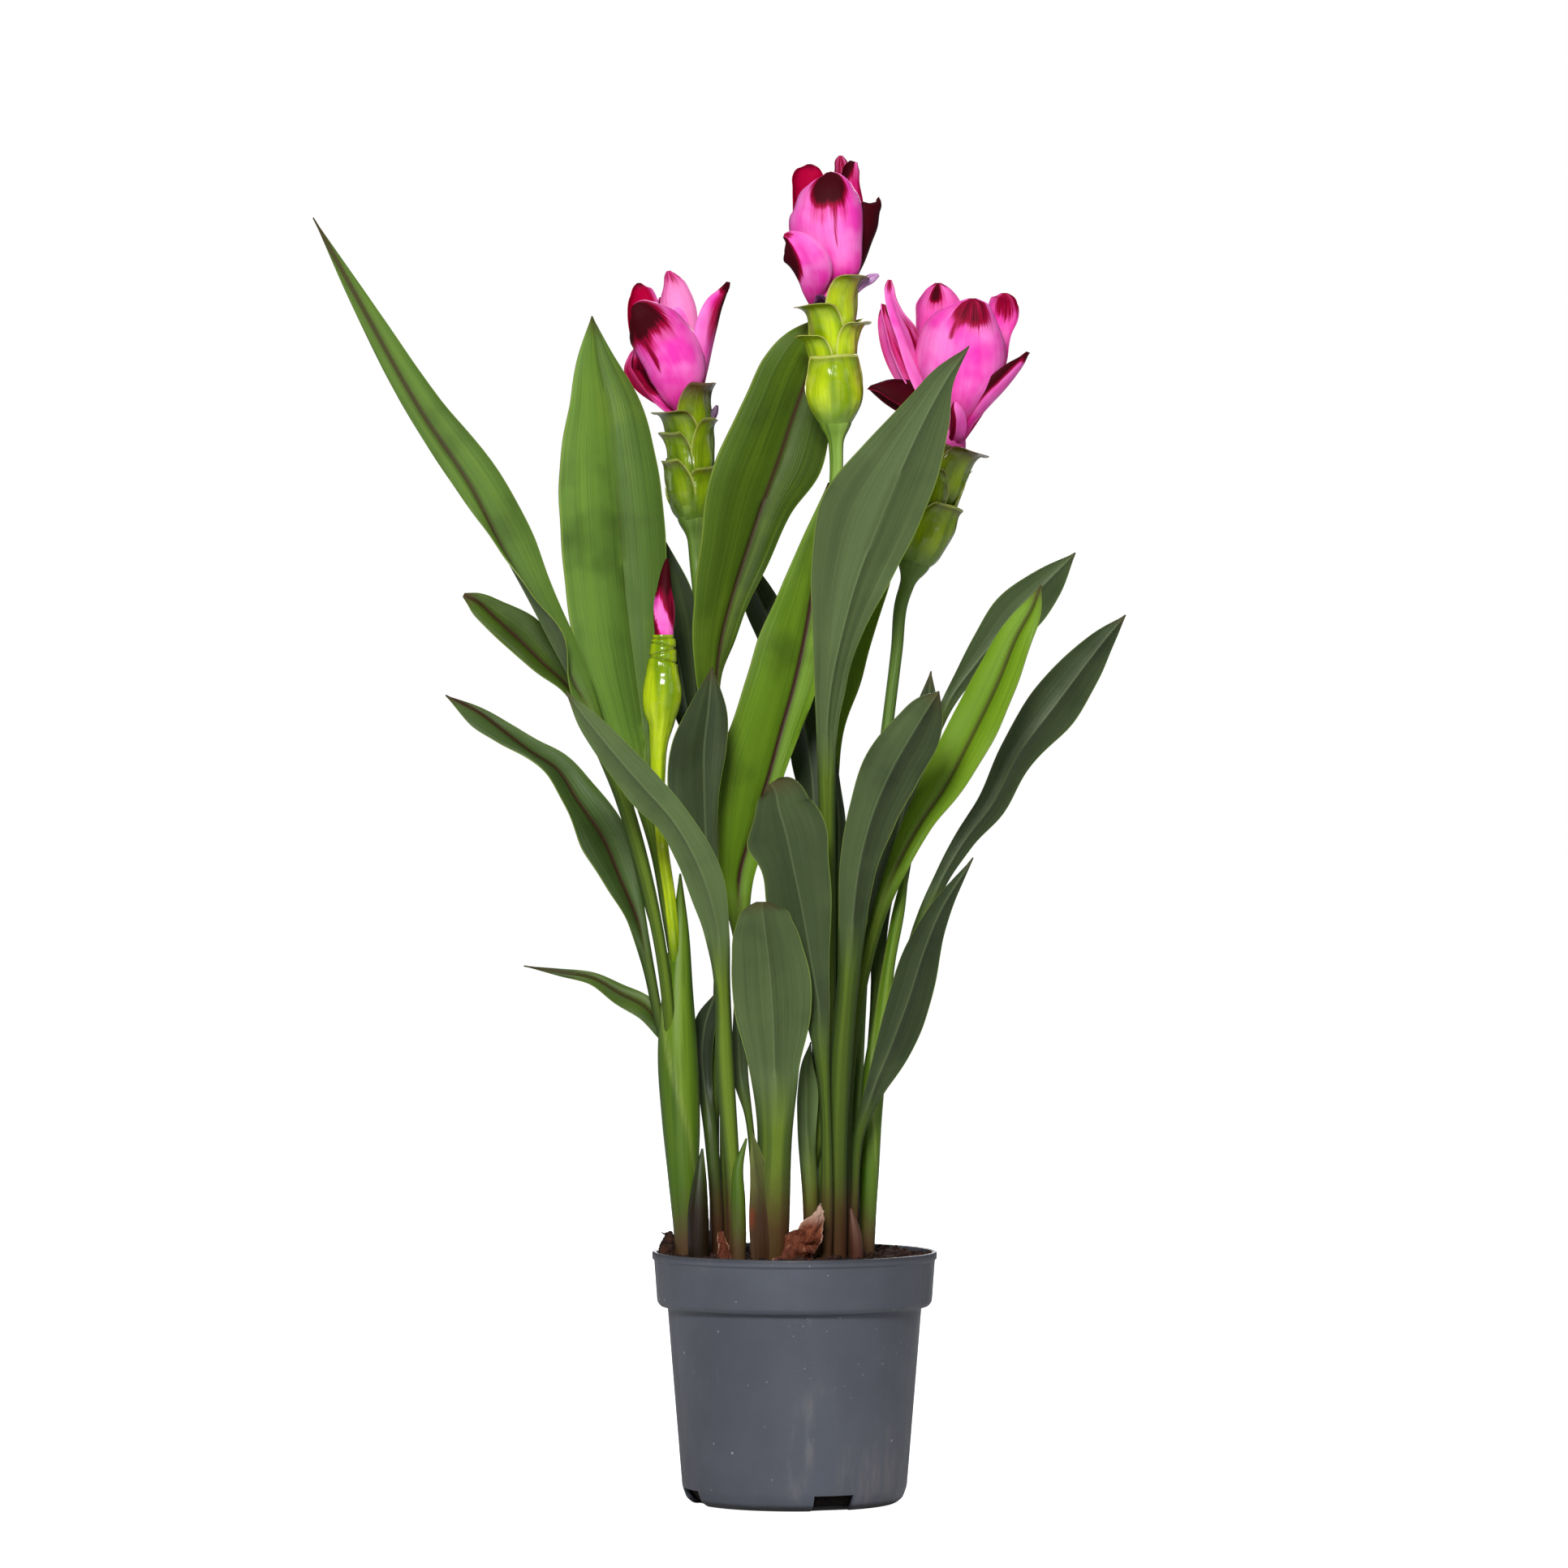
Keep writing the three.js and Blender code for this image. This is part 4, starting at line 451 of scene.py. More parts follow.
# %% One blade
def blade(name, rows, values, shows="under", stalk=0, lean=0, turn=0, bow=None,
          along_row=7, across=15, wave=0.0, crumple=0.0, edge=EDGE_HALF):
    """A leaf, bract or scale as one closed shell.

    bow is how far each half arches, along_row the sections for each row, across the points over
    a section, and wave, crumple and edge are the margin's wave, the creases and the half
    thickness at the margin, in mm."""
    at, last = smooth_rows(rows, 7), len(rows) - 1
    places = np.linspace(0, last, last * along_row + 1)
    on_stalk = np.clip(stalk - places, 0, 1)
    centre, arms, faces, thick = folded_arms(rows, at, places, on_stalk, lean, turn)
    along, on_stalk = length_along(centre), on_stalk[:, None]
    even = np.linspace(-1, 1, across)
    v = even + (np.sin(even * math.pi / 2) - even) * on_stalk
    size = np.abs(v)
    arm = np.where((v < 0)[..., None], *arms)
    reach = np.linalg.norm(arm, axis=-1)
    share = soft_step(v, -0.22, 0.22)[..., None]
    face = unit(faces[0] * (1 - share) + faces[1] * share)
    # The halves arch from midrib to margin, and a groove or a ridge marks the midrib
    upper = shows == "upper"
    bow = (0.1 if upper else -0.1) if bow is None else bow
    free = (1 - on_stalk) * soft_step(last - places, 0, 1.5)[:, None]
    arch = bow * (1 - on_stalk) * reach * 4 * size * (1 - size)
    arch = arch + wave * margin_wave(name, v, along[:, None]) * free
    deep = edge + (thick[:, None] - edge) * np.sqrt(np.maximum(1 - v * v, 0))
    near_rib = np.exp(-((size * reach) ** 2)) * (1 - on_stalk)
    groove, ridge = deep - 0.14 * near_rib, deep + 0.18 * near_rib
    point = centre[:, None] + arm * size[..., None] + face * arch[..., None]
    front = point + face * (groove if upper else ridge)[..., None]
    back = point - face * (ridge if upper else groove)[..., None]
    rings = round_trip(front, back)
    if crumple:
        rings = rings + crumpled(rings, crumple)
    widest = max(max(row[3:5]) for row in rows)
    u = np.concatenate([round_trip(v, v), v[:, :1]], axis=1) * widest / 100
    in_front = round_trip(np.ones_like(v), np.zeros_like(v))
    carried = {
        "mid": round_trip(size, size), "rib_mm": round_trip(size * reach, size * reach),
        "stalk": on_stalk, "upper": in_front if upper else 1 - in_front,
        **values(round_trip(v, v), along[:, None] / along[-1], in_front),
    }
    return shell(rings, grain_map(u, along), carried)


print("faces of a leaf with five rows:", len(blade("x", blade_rows(
    "0 0 0 2, 0 0 10 2, 0 0 20 5, 0 0 30 4, 0 0 40 0"), lambda v, s, front: {})["faces"]))

# %% Make a leaf
leaves = []


def make_leaf(name, rows, shows="under", stalk=3, lean=0, turn=0, tone=0.5, rib=0.2,
              darker=0.25, cool=0.0, halves=(1, 1)):
    """Makes one leaf and dresses its solid with it.

    shows is the side that faces the front, stalk the number of rows before the stalk opens, lean
    how far the tip hangs back, and turn how many degrees the blade is turned. tone and rib are
    how bright the leaf and how dark its midrib is; tone is partly the leaf's own green and partly
    painted shade, low for leaves that stand in shade behind others. darker is painted shade that
    darkens the leaf towards its foot, and lightens it when below 0. cool is how blue its green is,
    and halves how bright its left and its right half are, painted shade across the fold."""
    def values(v, s, front):
        # Painted shade: half darkens one side of the fold, and darker darkens the blade towards its foot
        half = halves[0] + (halves[1] - halves[0]) * soft_step(v, -0.1, 0.1)
        return {
            "tone": tone * half * (1 - darker * (1 - s) ** 1.5), "rib": rib, "cool": cool,
            "tip": soft_step(s, 0.962, 1.0) + 0 * v,
        }

    skin = blade(name, blade_rows(rows), values, shows, stalk, lean, turn, wave=0.5)
    made = new_object(name + "_fine", [skin])
    dress(made, LEAF_SKIN, "leaf_" + shows, name)
    leaves.append(made)


# %% Leaves on the left
make_leaf("leaf_left_long", shows="upper", stalk=6, lean=-18, turn=-16, tone=0.5, rib=0.7,
          darker=0.1, cool=0.6, rows="""
    -61 -4 214 2.6, -62.5 -8 242 3, -67 -10 277 3, -74 -10 310 3.5, -86 -10 352 4, -99 -9 386 5,
    -110 -10 407 2.5 9 -5 6, -120 -10 426 -6.5 11.5 -10 8, -133 -10 451 -3 13 -8 8,
    -145 -10 473 1 17 -5 9, -161 -11 505 6.5 16 -4 7, -186 -12 543 6.5 11.5 -3 5,
    -218 -14 600 4 5 -1 2, -240 -15 640 0
""")
make_leaf("leaf_left_upright", shows="upper", stalk=4, lean=8, turn=26, tone=0.76, rib=0.12,
          cool=0.6, halves=(1, 0.55), rows="""
    -56 6 250 3, -63 10 291 3, -69 12 324 3, -74 14 358 9 5 -1 -1, -76 16 386 19 9 -4 -2,
    -80 17 417 26.5 14 -6 -4, -84 18 449 28.5 20 -6 -5, -87 18 486 29.5 22.5 -6 -5,
    -90 18 518 26.5 21 -5 -4, -93 18 546 20 16.5 -4 -3, -98 18 570 10.5 8 -2 -2, -101 18 591 0
""")
make_leaf("leaf_left_front", stalk=4, lean=-50, turn=-24, tone=0.7, darker=-0.1, rows="""
    -30 -22 104 3.5, -30 -22 142 3.5, -35 -24 223 4.5, -36 -26 257 4, -38 -29 283 6.5 5.5 3 2,
    -45 -32 310 9.5 9.5 5 4, -61 -35 340 8 8.5 5 4, -76 -37 357 9.5 9 4 4, -89 -39 372 8 8 4 3,
    -102 -40 388 5.5 5.5 2 2, -114 -41 404 0
""")
make_leaf("leaf_left_small", shows="upper", stalk=4, lean=14, turn=20, tone=0.24, rib=0.8, rows="""
    -56 0 250 1.5, -69 3 283 1.5, -86 4 344 1.5, -104 4 392 2.5, -114 4 407 3.5 5.5 -2 -3,
    -126 5 418 5.5 11.5 -3 -5, -137 6 429 6 14 -3 -5, -149 7 440 6.5 10 -2 -4, -159 7 449 5 4.5 -1 -2,
    -165 7 452 1
""")
make_leaf("leaf_left_twisted", shows="upper", lean=25, turn=18, tone=0.27, rib=0.85, cool=0.8,
          halves=(0.7, 1), rows="""
    -58 2 208 2.5, -67 3 238 2.5, -73 5 267 3, -79 7 291 5 5 -2 -2, -87 9 310 7.5 10.5 -4 -4,
    -96 11 331 11 13 -5 -5, -109 12 350 6.5 12 -5 -4, -119 12 365 5 9 -6 -3, -131 12 373 2.5 7.5 -4 -3,
    -144 12 383 6 5.5 -3 -2, -157 12 393 7.5 3 -2 -1, -174 12 402 0
""")
make_leaf("leaf_left_lowest", shows="upper", stalk=1, lean=16, turn=20, tone=0.25, rib=0.6,
          cool=0.5, rows="""
    -57 4 222 2, -66 9 235 4, -74 10 246 6 5.5 -2 -2, -87 10 253 5.5 5 -2 -1, -101 10 261 3 3 -1 -1,
    -117 10 264 2 1.5, -135 10 267 0
""")
make_leaf("leaf_left_inner", lean=4, turn=-20, tone=0.05, rows="""
    -39 3 104 2.5, -39 3 142 3, -42 7 186 3.5, -45 11 208 3.5 4 1 1, -46 11 227 5 5.5 2 1,
    -44 10 240 5 5 1 1, -39 9 254 0
""")

# %% Leaves in the middle
make_leaf("leaf_middle_upright", shows="upper", stalk=4, lean=5, turn=20, tone=0.32, rib=0.8,
          darker=0.1, halves=(1, 0.6), rows="""
    -33 12 104 3, -34 12 142 3, -35 15 223 2.5, -38 18 360 3, -40 19 390 5 3 -1 -1,
    -39 19 413 11 3 -4 -1, -37 19 429 14 7 -6 -2, -32 19 449 18 9 -7 -3, -25 19 471 23 12.5 -7 -4,
    -16 18 498 28.5 15.5 -6 -3, -8 18 520 28 22 -5 -4, -1 18 541 25.5 20 -3 -3, 7 18 563 23 15 -1 -2,
    13 18 580 14 8, 17 18 592 0
""")
make_leaf("leaf_middle_bright", shows="upper", stalk=4, lean=28, turn=16, tone=0.66, rib=1,
          darker=0.05, halves=(1, 1.12), rows="""
    -12 2 104 3.5, -12 2 142 3.5, -17 4 206 3.5, -27 5 285 4.5, -28 5 310 9.5 7.5 -2 -2,
    -21 5 336 18 8.5 -4 -2, -13 5 362 25.5 7.5 -5 -2, -7 5 384 24.5 9.5 -5 -2,
    -1 5 405 23.5 11.5 -5 -3, 4 5 427 22 12.5 -4 -3, 8 5 449 17 11.5 -3 -2, 11 5 469 11.5 9 -2 -2,
    17 5 508 0
""")
make_leaf("leaf_middle_dark", lean=-8, turn=-22, tone=0.2, rows="""
    -31 -11 104 2.5, -32 -12 162 2.5, -36 -14 271 2.5, -40 -15 303 4 3 1 1, -44 -15 330 10.5 5.5 2 1,
    -45 -15 354 18 7.5 4 2, -45 -15 376 16 11 4 3, -43 -15 394 10.5 9.5 2 2, -41 -15 416 0
""")
make_leaf("leaf_right_broad", stalk=4, lean=-45, turn=24, tone=0.57, rows="""
    17 -5 104 4, 17 -6 142 4, 17 -12 271 3.5, 16 -16 360 4.5, 16 -17 384 5 5 1 1, 18 -18 405 8 7 3 2,
    24 -20 434 15.5 9.5 5 3, 31 -21 459 23.5 14.5 6 4, 42 -22 488 30.5 18.5 6 4,
    55 -22 519 21 17.5 5 4, 67 -22 544 12 11.5 3 3, 76 -22 560 7.5 4 2 1, 87 -22 576 0
""")
make_leaf("leaf_right_hidden", shows="upper", lean=38, turn=-28, tone=0.6, rib=0.3, rows="""
    22 12 104 2.5, 22 11 223 2.5, 19 8 360 3, 20 8 384 4 4.5, 25 8 409 6 7.5 -1 -1,
    31 8 435 7.5 9 -2 -2, 38 8 459 7.5 9.5 -2 -2, 45 8 483 4 5 -1 -1, 51 8 502 0
""")
make_leaf("leaf_front_blunt", lean=-32, turn=-20, tone=0.3, darker=-0.3, rows="""
    15 -29 104 3, 16 -29 150 3, 14 -30 218 3.5, 12 -31 247 8 5.5 2 1, 8 -32 271 13 9.5 4 3,
    3 -33 299 16.5 15.5 5 4, -1 -34 318 15.5 18 5 5, -4 -35 332 20 20 5 5, -8 -35 346 12 16.5 3 4,
    -10 -35 355 6.5 11 1 2, -12 -35 358 3 5
""")
make_leaf("leaf_front_low", lean=-36, turn=14, tone=0.54, darker=-0.1, rows="""
    -13 -38 104 9, -12 -38 142 9.5, -10 -38 186 8.5 9, -10 -39 216 12.5 12.5 4 4,
    -11 -40 247 19 19 8 8, -13 -41 271 18 18 8 8, -15 -42 287 14.5 14 6 6, -16 -42 296 8.5 9 3 3,
    -16 -42 299 3 3 1 1
""")

# %% Leaves on the right
make_leaf("leaf_right_far", lean=6, turn=24, tone=0.3, halves=(1, 0.8), rows="""
    38 3 204 2.5, 49 7 237 3, 65 10 293 3.5, 73 11 310 4 4 1 1, 85 12 330 5.5 5 2 2,
    98 13 347 7.5 7 3 3, 111 14 372 9.5 9 4 4, 129 15 396 13 12.5 4 4, 144 15 416 10.5 10 3 3,
    154 15 429 6.5 6 2 2, 165 15 442 0
""")
make_leaf("leaf_right_back", lean=24, turn=26, tone=0.44, rows="""
    53 3 300 2, 59 16 336 2.5, 70 21 384 3, 78 21 401 3.5 3.5 1 1, 89 21 416 7 5.5 2 2,
    97 22 426 9.5 8 3 3, 110 22 442 12 12 3 3, 126 22 459 7.5 9.5 2 2, 140 22 473 0
""")
make_leaf("leaf_right_bright", shows="upper", stalk=5, lean=-8, turn=-26, tone=0.84, rib=0.6,
          darker=1, rows="""
    26 -11 104 3, 25 -11 142 3, 26 -11 202 3, 34 -12 263 3.5, 42 -12 293 4, 52 -12 318 5.5 5 -1 -1,
    63 -12 338 9 5.5 -3 -1, 74 -12 354 12.5 7.5 -4 -2, 89 -12 382 13.5 9.5 -4 -3,
    102 -13 409 12.5 9 -3 -3, 111 -13 431 9 7.5 -2 -2, 119 -13 446 5 4 -1 -1, 123 -13 457 0
""")
make_leaf("leaf_right_dark", stalk=4, lean=-48, turn=22, tone=0.44, halves=(1, 0.5), rows="""
    21 -20 104 5, 21 -20 142 5, 23 -22 218 5.5, 27 -24 263 5.5, 29 -25 291 7 7 2 2,
    32 -26 316 9.5 9 3 3, 39 -27 343 12 12 4 4, 49 -28 366 14.5 14.5 5 5, 60 -29 385 11 13.5 4 4,
    68 -29 398 6 6.5 2 2, 72 -29 404 0
""")
make_leaf("leaf_right_shade", lean=4, tone=0.15, rows="""
    31 10 104 2.5, 33 10 162 2.5, 41 8 259 3, 45 5.5 303 8 4.5 2, 51 5 332 10 7.5 3,
    58 4 358 11.5 9.5 3, 64 4 382 9.5 8 3, 67 4 400 5 4 1, 68 4 414 0
""")
make_leaf("leaf_right_low", lean=-30, turn=24, tone=0.18, rib=0.3, rows="""
    30 -16 104 2, 30 -16 154 2, 33 -17 187 3, 39 -18 205 4 5.5 1 1, 48 -19 227 7.5 11 3 3,
    57 -20 251 10 11 4 4, 64 -21 273 9.5 8.5 3 3, 72 -22 293 6 5.5 2 2, 89 -24 321 0
""")

# %% Leaves behind, and small ones
make_leaf("leaf_back_left", lean=26, turn=24, tone=0.12, rib=0.3, rows="""
    -40 17 104 2.5, -40 17 182 2.5, -43 17 344 2.5, -49 18 374 3.5 3.5 1 1, -54 19 397 7.5 8 1 2,
    -59 20 425 14 13 2 3, -64 20 449 15.5 14 2 3, -68 20 469 14 8.5 2 2, -75 20 497 0
""")
make_leaf("leaf_back_middle", lean=40, turn=-24, tone=0.12, rib=0.3, rows="""
    10 38 104 2.5, 11 38 223 2.5, 10 36 320 3, 10 36 342 5 5 1 1, 8 36 368 9 9 2 2,
    3 36 397 10 9.5 2 2, -6 36 425 9.5 9.5 2 2, -17 36 449 9 8.5 2 2, -35 36 485 0
""")
make_leaf("leaf_small_left", turn=-15, tone=0.25, rows="""
    -20 -17 104 2, -20 -17 162 2, -23 -17 193 2, -27 -17 212 3.5 4 1 1, -28 -17 231 3 4 1 1,
    -30 -17 250 0
""")
make_leaf("leaf_small_right", turn=15, tone=0.6, rows="""
    8 -1 104 2, 9 -2 162 2, 13 -3 190 2.5, 14 -3 212 3 3 1 1, 13 -3 231 3.5 3.5 1 1, 10 -3 247 0
""")
make_leaf("leaf_small_shade", lean=8, turn=15, tone=0.12, rows="""
    22 4 104 2, 23 4 223 2, 22 3 295 2.5, 22 3 320 3 3 1 1, 22 3 339 3.5 3.5 1 1, 20 3 360 2 2.5,
    19 3 380 0
""")
make_leaf("leaf_young", stalk=2, lean=-4, turn=15, tone=0.8, rib=0.1, rows="""
    8 -14 104 3.5, 8 -14 150 4, 6 -14 186 4.5 4.5 1 1, 6 -14 204 4.5 5.5 1 1, 6 -14 218 2.5 3 1 1,
    8 -14 229 0
""")
print("leaves:", len(leaves), "faces:", sum(len(made.data.polygons) for made in leaves))

# %% [markdown]
# ## Shoots
# A shoot is a bundle of leaf sheaths rolled round each other, so it is a round stem that swells
# above its foot and tapers where the leaves leave it. A swept tube with fine lengthwise ribs is
# enough, as long as its colour changes from brown at the soil to green.

# %% Stem shells
def stem_shell(rows, values, along_row=8, sides=28, relief=None):
    """A round stem through rows of x, y, z and radius."""
    at, last = smooth_rows(rows, 4), len(rows) - 1
    places = np.linspace(0, last, last * along_row + 1)
    x, y, z, radius = at(places).T
    centre = seen(x, y, z)
    travel = travel_at(at, places, last)
    side = sideways(travel)
    turn = turns(sides)[None, :]
    radius = np.maximum(radius, 0.3)[:, None] + 0 * turn
    if relief:
        radius = radius + relief(turn, centre[:, 2:3], radius)
    out = np.cos(turn)[..., None] * side[:, None] + np.sin(turn)[..., None] * np.cross(travel, side)[:, None]
    rings = centre[:, None] + radius[..., None] * out
    values = values(turn, centre[:, 2:3]) if callable(values) else values
    return shell(rings, grain_map(np.linspace(0, 0.3, sides + 1), length_along(centre)), values)


print("faces of a short stem:", len(stem_shell(numbers("0 0 0 3, 0 0 20 2"), {})["faces"]))

# %% Stem finish
def stem_finish(name, low, high, streak, foot, foot_low, foot_high):
    """Green skin with lengthwise streaks that turns to the foot's colour near the soil."""
    skin = Finish(name, 0.42, 0.28)
    outer, edge, rust = skin.values("outer edge rust")
    fine, broad = skin.grain(60.0, 1.5, 2.0), skin.grain(14.0, 0.8, 1.0)
    skin.colour = mix(broad.fade(0.35, 0.65), rgb(*low), rgb(*high))
    # outer gives the outer sheath and the scapes their darker streak colour, and on the shoots also painted
    # shade down the right side
    skin.coat(outer * 0.6, rgb(*streak))
    skin.coat(edge * 0.5, rgb(150, 168, 84))
    skin.coat(fine.fade(0.5, 0.72, 0.0, 0.55), rgb(*streak))
    skin.coat(skin.near_soil(foot_low, foot_high) * 0.9, rgb(*foot))
    skin.coat(rust * 0.6, rgb(126, 54, 26))
    return skin.done(fine, 0.0004, broad.fade(0.3, 0.7, 0.34, 0.48))


STALK_SKIN = stem_finish(
    "stalk_skin", (80, 114, 20), (118, 148, 38), (54, 86, 18), (88, 58, 42), 0.124, 0.16)
SHOOT_PURPLE_SKIN = stem_finish(
    "shoot_purple_skin", (44, 68, 14), (74, 102, 28), (34, 42, 16), (34, 14, 10), 0.138, 0.178)
FRONT_SCALE_SKIN = stem_finish(
    "front_scale_skin", (78, 88, 36), (106, 114, 58), (84, 66, 40), (66, 34, 22), 0.142, 0.174)
SHEATH_BROWN_SKIN = stem_finish(
    "sheath_brown_skin", (132, 92, 66), (104, 62, 50), (70, 40, 32), (80, 46, 36), 0.12, 0.14)

# %% The free edge of a sheath
def past_edge(turn, height):
    """How far round a point lies from the free edge of the outer sheath, which winds as it falls."""
    return np.mod(turn - 3.8 - (240 - height) * 0.023 + math.pi, 2 * math.pi) - math.pi


def sheath_relief(turn, height, radius):
    """The outer sheath stands proud on one side of its free edge, and thins away round the back."""
    past = -past_edge(turn, height)
    proud = 0.5 * soft_step(past, -0.05, 0.05) * (1 - soft_step(past, 0.3, 3.0))
    return proud * np.minimum(radius / 5, 1)


def sheath_values(turn, height):
    past = past_edge(turn, height)
    # Painted shade down the right side of each shoot, carried by the same value as the outer sheath's darker
    # streaks
    painted_right_shade = 0.7 * soft_step(np.cos(turn), 0.1, 0.9)
    outer = np.maximum(soft_step(-past, -0.08, 0.08), painted_right_shade)
    return {"outer": outer, "edge": np.exp(-((past / 0.13) ** 2))}


print("edge at 200 mm up:", round(float(past_edge(0.0, 200.0)), 2))

# %% Make the shoots
def make_shoot(name, skin, slot, rows):
    stem = stem_shell(numbers(rows), sheath_values, relief=sheath_relief, sides=48)
    dress(new_object(name + "_fine", [stem]), skin, slot, name)


make_shoot("shoot_left", STALK_SKIN, "stalk", """
    -54 -5 104 5, -54 -5 123 5.5, -55.5 -4 162 7.6, -56.5 -3 190 9.4, -58 -2 223 9.8,
    -58 -1 255 7.4, -57 0 283 4.5, -57 1 313 0.5
""")
make_shoot("shoot_right", STALK_SKIN, "stalk", """
    36 0 104 3, 36 0 125 3.5, 37 0 162 5, 38 0 190 5.5, 40 0 214 5.5, 44 0 243 4, 47 0 267 3,
    52 1 295 3, 57 2 322 0.5
""")
make_shoot("shoot_purple", SHOOT_PURPLE_SKIN, "shoot_brown", """
    -48 -20 104 4.5, -48 -20 123 5, -48 -20 146 5, -47 -20 163 3, -46 -20 176 0.5
""")
make_shoot("shoot_brown", SHEATH_BROWN_SKIN, "dry_sheath", """
    31 -28 112 2.6, 31 -28 124 3, 30 -28 135 2.6, 28 -28 146 0.6
""")
make_shoot("shoot_green", STALK_SKIN, "stalk", """
    -28 -31 104 3, -28 -31 125 3.5, -28 -31 150 3.5, -28 -31 166 2.5, -24 -31 181 0.5
""")

# %% [markdown]
# ## Scales and dry sheaths
# At the foot of the clump old sheaths have dried to brown paper. They are made as small blades,
# then creased by smooth noise, which looks more like dry skin than any regular fold.

# %% Dry skin finish
def dry_finish():
    skin = Finish("dry_skin", 0.75, 0.3)
    mid, = skin.values("mid")
    fine, folds = skin.grain(110.0, 7.0, 4.0), skin.grain(22.0, 13.0, 3.0, 0.6)
    patches, level = skin.cloud(90.0), skin.height()
    skin.colour = mix(fine.fade(0.3, 0.7), rgb(84, 34, 19), rgb(134, 70, 42))
    skin.coat(folds.fade(0.52, 0.72, 0.0, 0.7), rgb(62, 26, 16))
    skin.coat(folds.fade(0.42, 0.26, 0.0, 0.6), rgb(204, 150, 118))
    skin.coat(patches.fade(0.52, 0.75, 0.0, 0.6), rgb(74, 34, 22))
    skin.coat(mid.fade(0.78, 1.0) * folds.fade(0.55, 0.4, 0.1, 0.85), rgb(210, 166, 138))
    skin.coat(level.fade(0.134, 0.12, 0.0, 0.6), rgb(66, 32, 20))
    skin.coat(level.fade(0.139, 0.149, 0.0, 0.75), rgb(226, 190, 168))
    return skin.done(fine * 0.4 + folds, 0.0018)


DRY_SKIN = dry_finish()

# %% Make the scales
def front_values(v, s, front):
    """The green scale has pale margins and one rusty spot at its left."""
    rust = (1 - soft_step(v, -0.8, -0.45)) * soft_step(s, 0.28, 0.33) * (1 - soft_step(s, 0.42, 0.46))
    return {"rust": rust, "edge": 0.7 * soft_step(np.abs(v), 0.9, 1.0) * soft_step(s, 0.5, 0.8)}


def make_scale(name, skin, slot, values, crumple, *texts):
    parts = [blade(name, blade_rows(text), values, along_row=8, crumple=crumple) for text in texts]
    dress(new_object(name + "_fine", parts), skin, slot, name)


make_scale("scale_front", FRONT_SCALE_SKIN, "shoot_brown", front_values, 0.0, """
    -15 -47 116 6 5 3 3, -16 -48 140 6.5 7 5 3, -17 -48 158 5 6 4 2, -19 -49 172 3 3 2 1,
    -21 -49 184 0
""")
make_scale("sheath_dry", DRY_SKIN, "dry_sheath", lambda v, s, front: {}, 1.4, """
    2 -43 116 9.5 8 2 4, 0 -46 122 11 9.5 1 6, 1 -46 127 9.5 9 4 1, 2 -45 131 7 7 1 3,
    3 -45 134 3 4 1 1, 4 -45 135.5 0.5
""", """
    6 -43 127 6 5.5 1 2, 8 -46 132 7 5.5 3 1, 10 -47 137 6 4.5 1 3, 12 -46 142 3.5 2.6 1 1,
    13 -46 148 0.7
""")
make_scale("sheath_left", DRY_SKIN, "dry_sheath", lambda v, s, front: {}, 1.4, """
    -35 -31 116 3.2 3 1 1, -35 -32 126 3.5 2.5 1 1, -36 -32 134 1
""")

# %% [markdown]
# ## Green cones
# Below each pink crown stands a cone of broad green bracts. Each is a pocket that wraps the cone,
# bulges below, and flares at its lip, so it is swept from a list of leans: from its foot to its
# lip the wall turns from slanting out, through upright, to curling over.

# %% Cone rows
# lean is the cone's tilt to the right, crown_rise how far up its axis the crown starts, and
# scape the bare stem that carries it. look is how bright the cone is and how brown its lips are,
# and shade how dark its stem is. A cup is its turn, its rise, its length, its reach round to each
# side, and its kind.
CONES = {
    "middle": {
        "lean": -1.5, "crown_rise": 63, "look": (0.9, 0.4), "shade": 0.0,
        "scape": "14 5 104 3, 15 4 182 3.5, 16 2 303 3.5, 17 -3 405 3.5, 19.5 -6 490 3.5, 20.5 -6 533 3.5",
        "cups": [
            (0, 0, 41, 84, "low"), (180, 1, 41, 84, "low"), (-70, 16, 36, 70, "high"),
            (66, 24, 34, 60, "high"), (-62, 32, 35, 90, "high"), (172, 27, 34, 78, "high"),
            (72, 45, 36, 88, "high"), (198, 44, 28, 68, "tight"),
        ],
    },
    "left": {
        "lean": -3, "crown_rise": 58, "look": (0.2, 0.9), "shade": 0.85,
        "scape": "-33 30 104 3, -34 30 182 3, -38 32 303 3.5, -42 34 384 3.5, -47 38 449 3.5, -50 42 485 3.5",
        "cups": [
            (60, 0, 33, 88, "low"), (-70, 1, 37, 80, "low"), (190, 2, 38, 84, "low"),
            (-52, 16, 34, 62, "tight"), (68, 20, 36, 66, "tight"), (180, 26, 34, 74, "tight"),
            (-62, 30, 33, 88, "high"), (56, 42, 32, 84, "tight"),
        ],
    },
    "right": {
        "lean": 18, "crown_rise": 62, "look": (0.36, 1.0), "shade": 1.0,
        "scape": "30 19 104 3, 31 18 202 3, 36 17 295 3, 45 15 376 3, 51 14 425 3, 58 13 463 3.5",
        "cups": [
            (-30, 0, 24, 70, "low"), (52, 1, 40, 88, "low"), (205, 1, 37, 84, "low"),
            (-70, 8, 26, 60, "tight"), (-40, 24, 31, 70, "tight"), (150, 26, 34, 78, "tight"),
            (66, 36, 35, 88, "high"), (-50, 38, 29, 84, "tight"),
        ],
    },
}
print("cups:", sum(len(cone["cups"]) for cone in CONES.values()))

# %% Round bodies in a cone's own frame
def tilt(points, lean, foot):
    """Moves points from a cone's own frame to its foot, tilted to the right by lean degrees."""
    c, s = math.cos(math.radians(lean)), math.sin(math.radians(lean))
    x, y, z = np.moveaxis(points, -1, 0)
    return np.stack([x * c + z * s, y, z * c - x * s], axis=-1) + foot


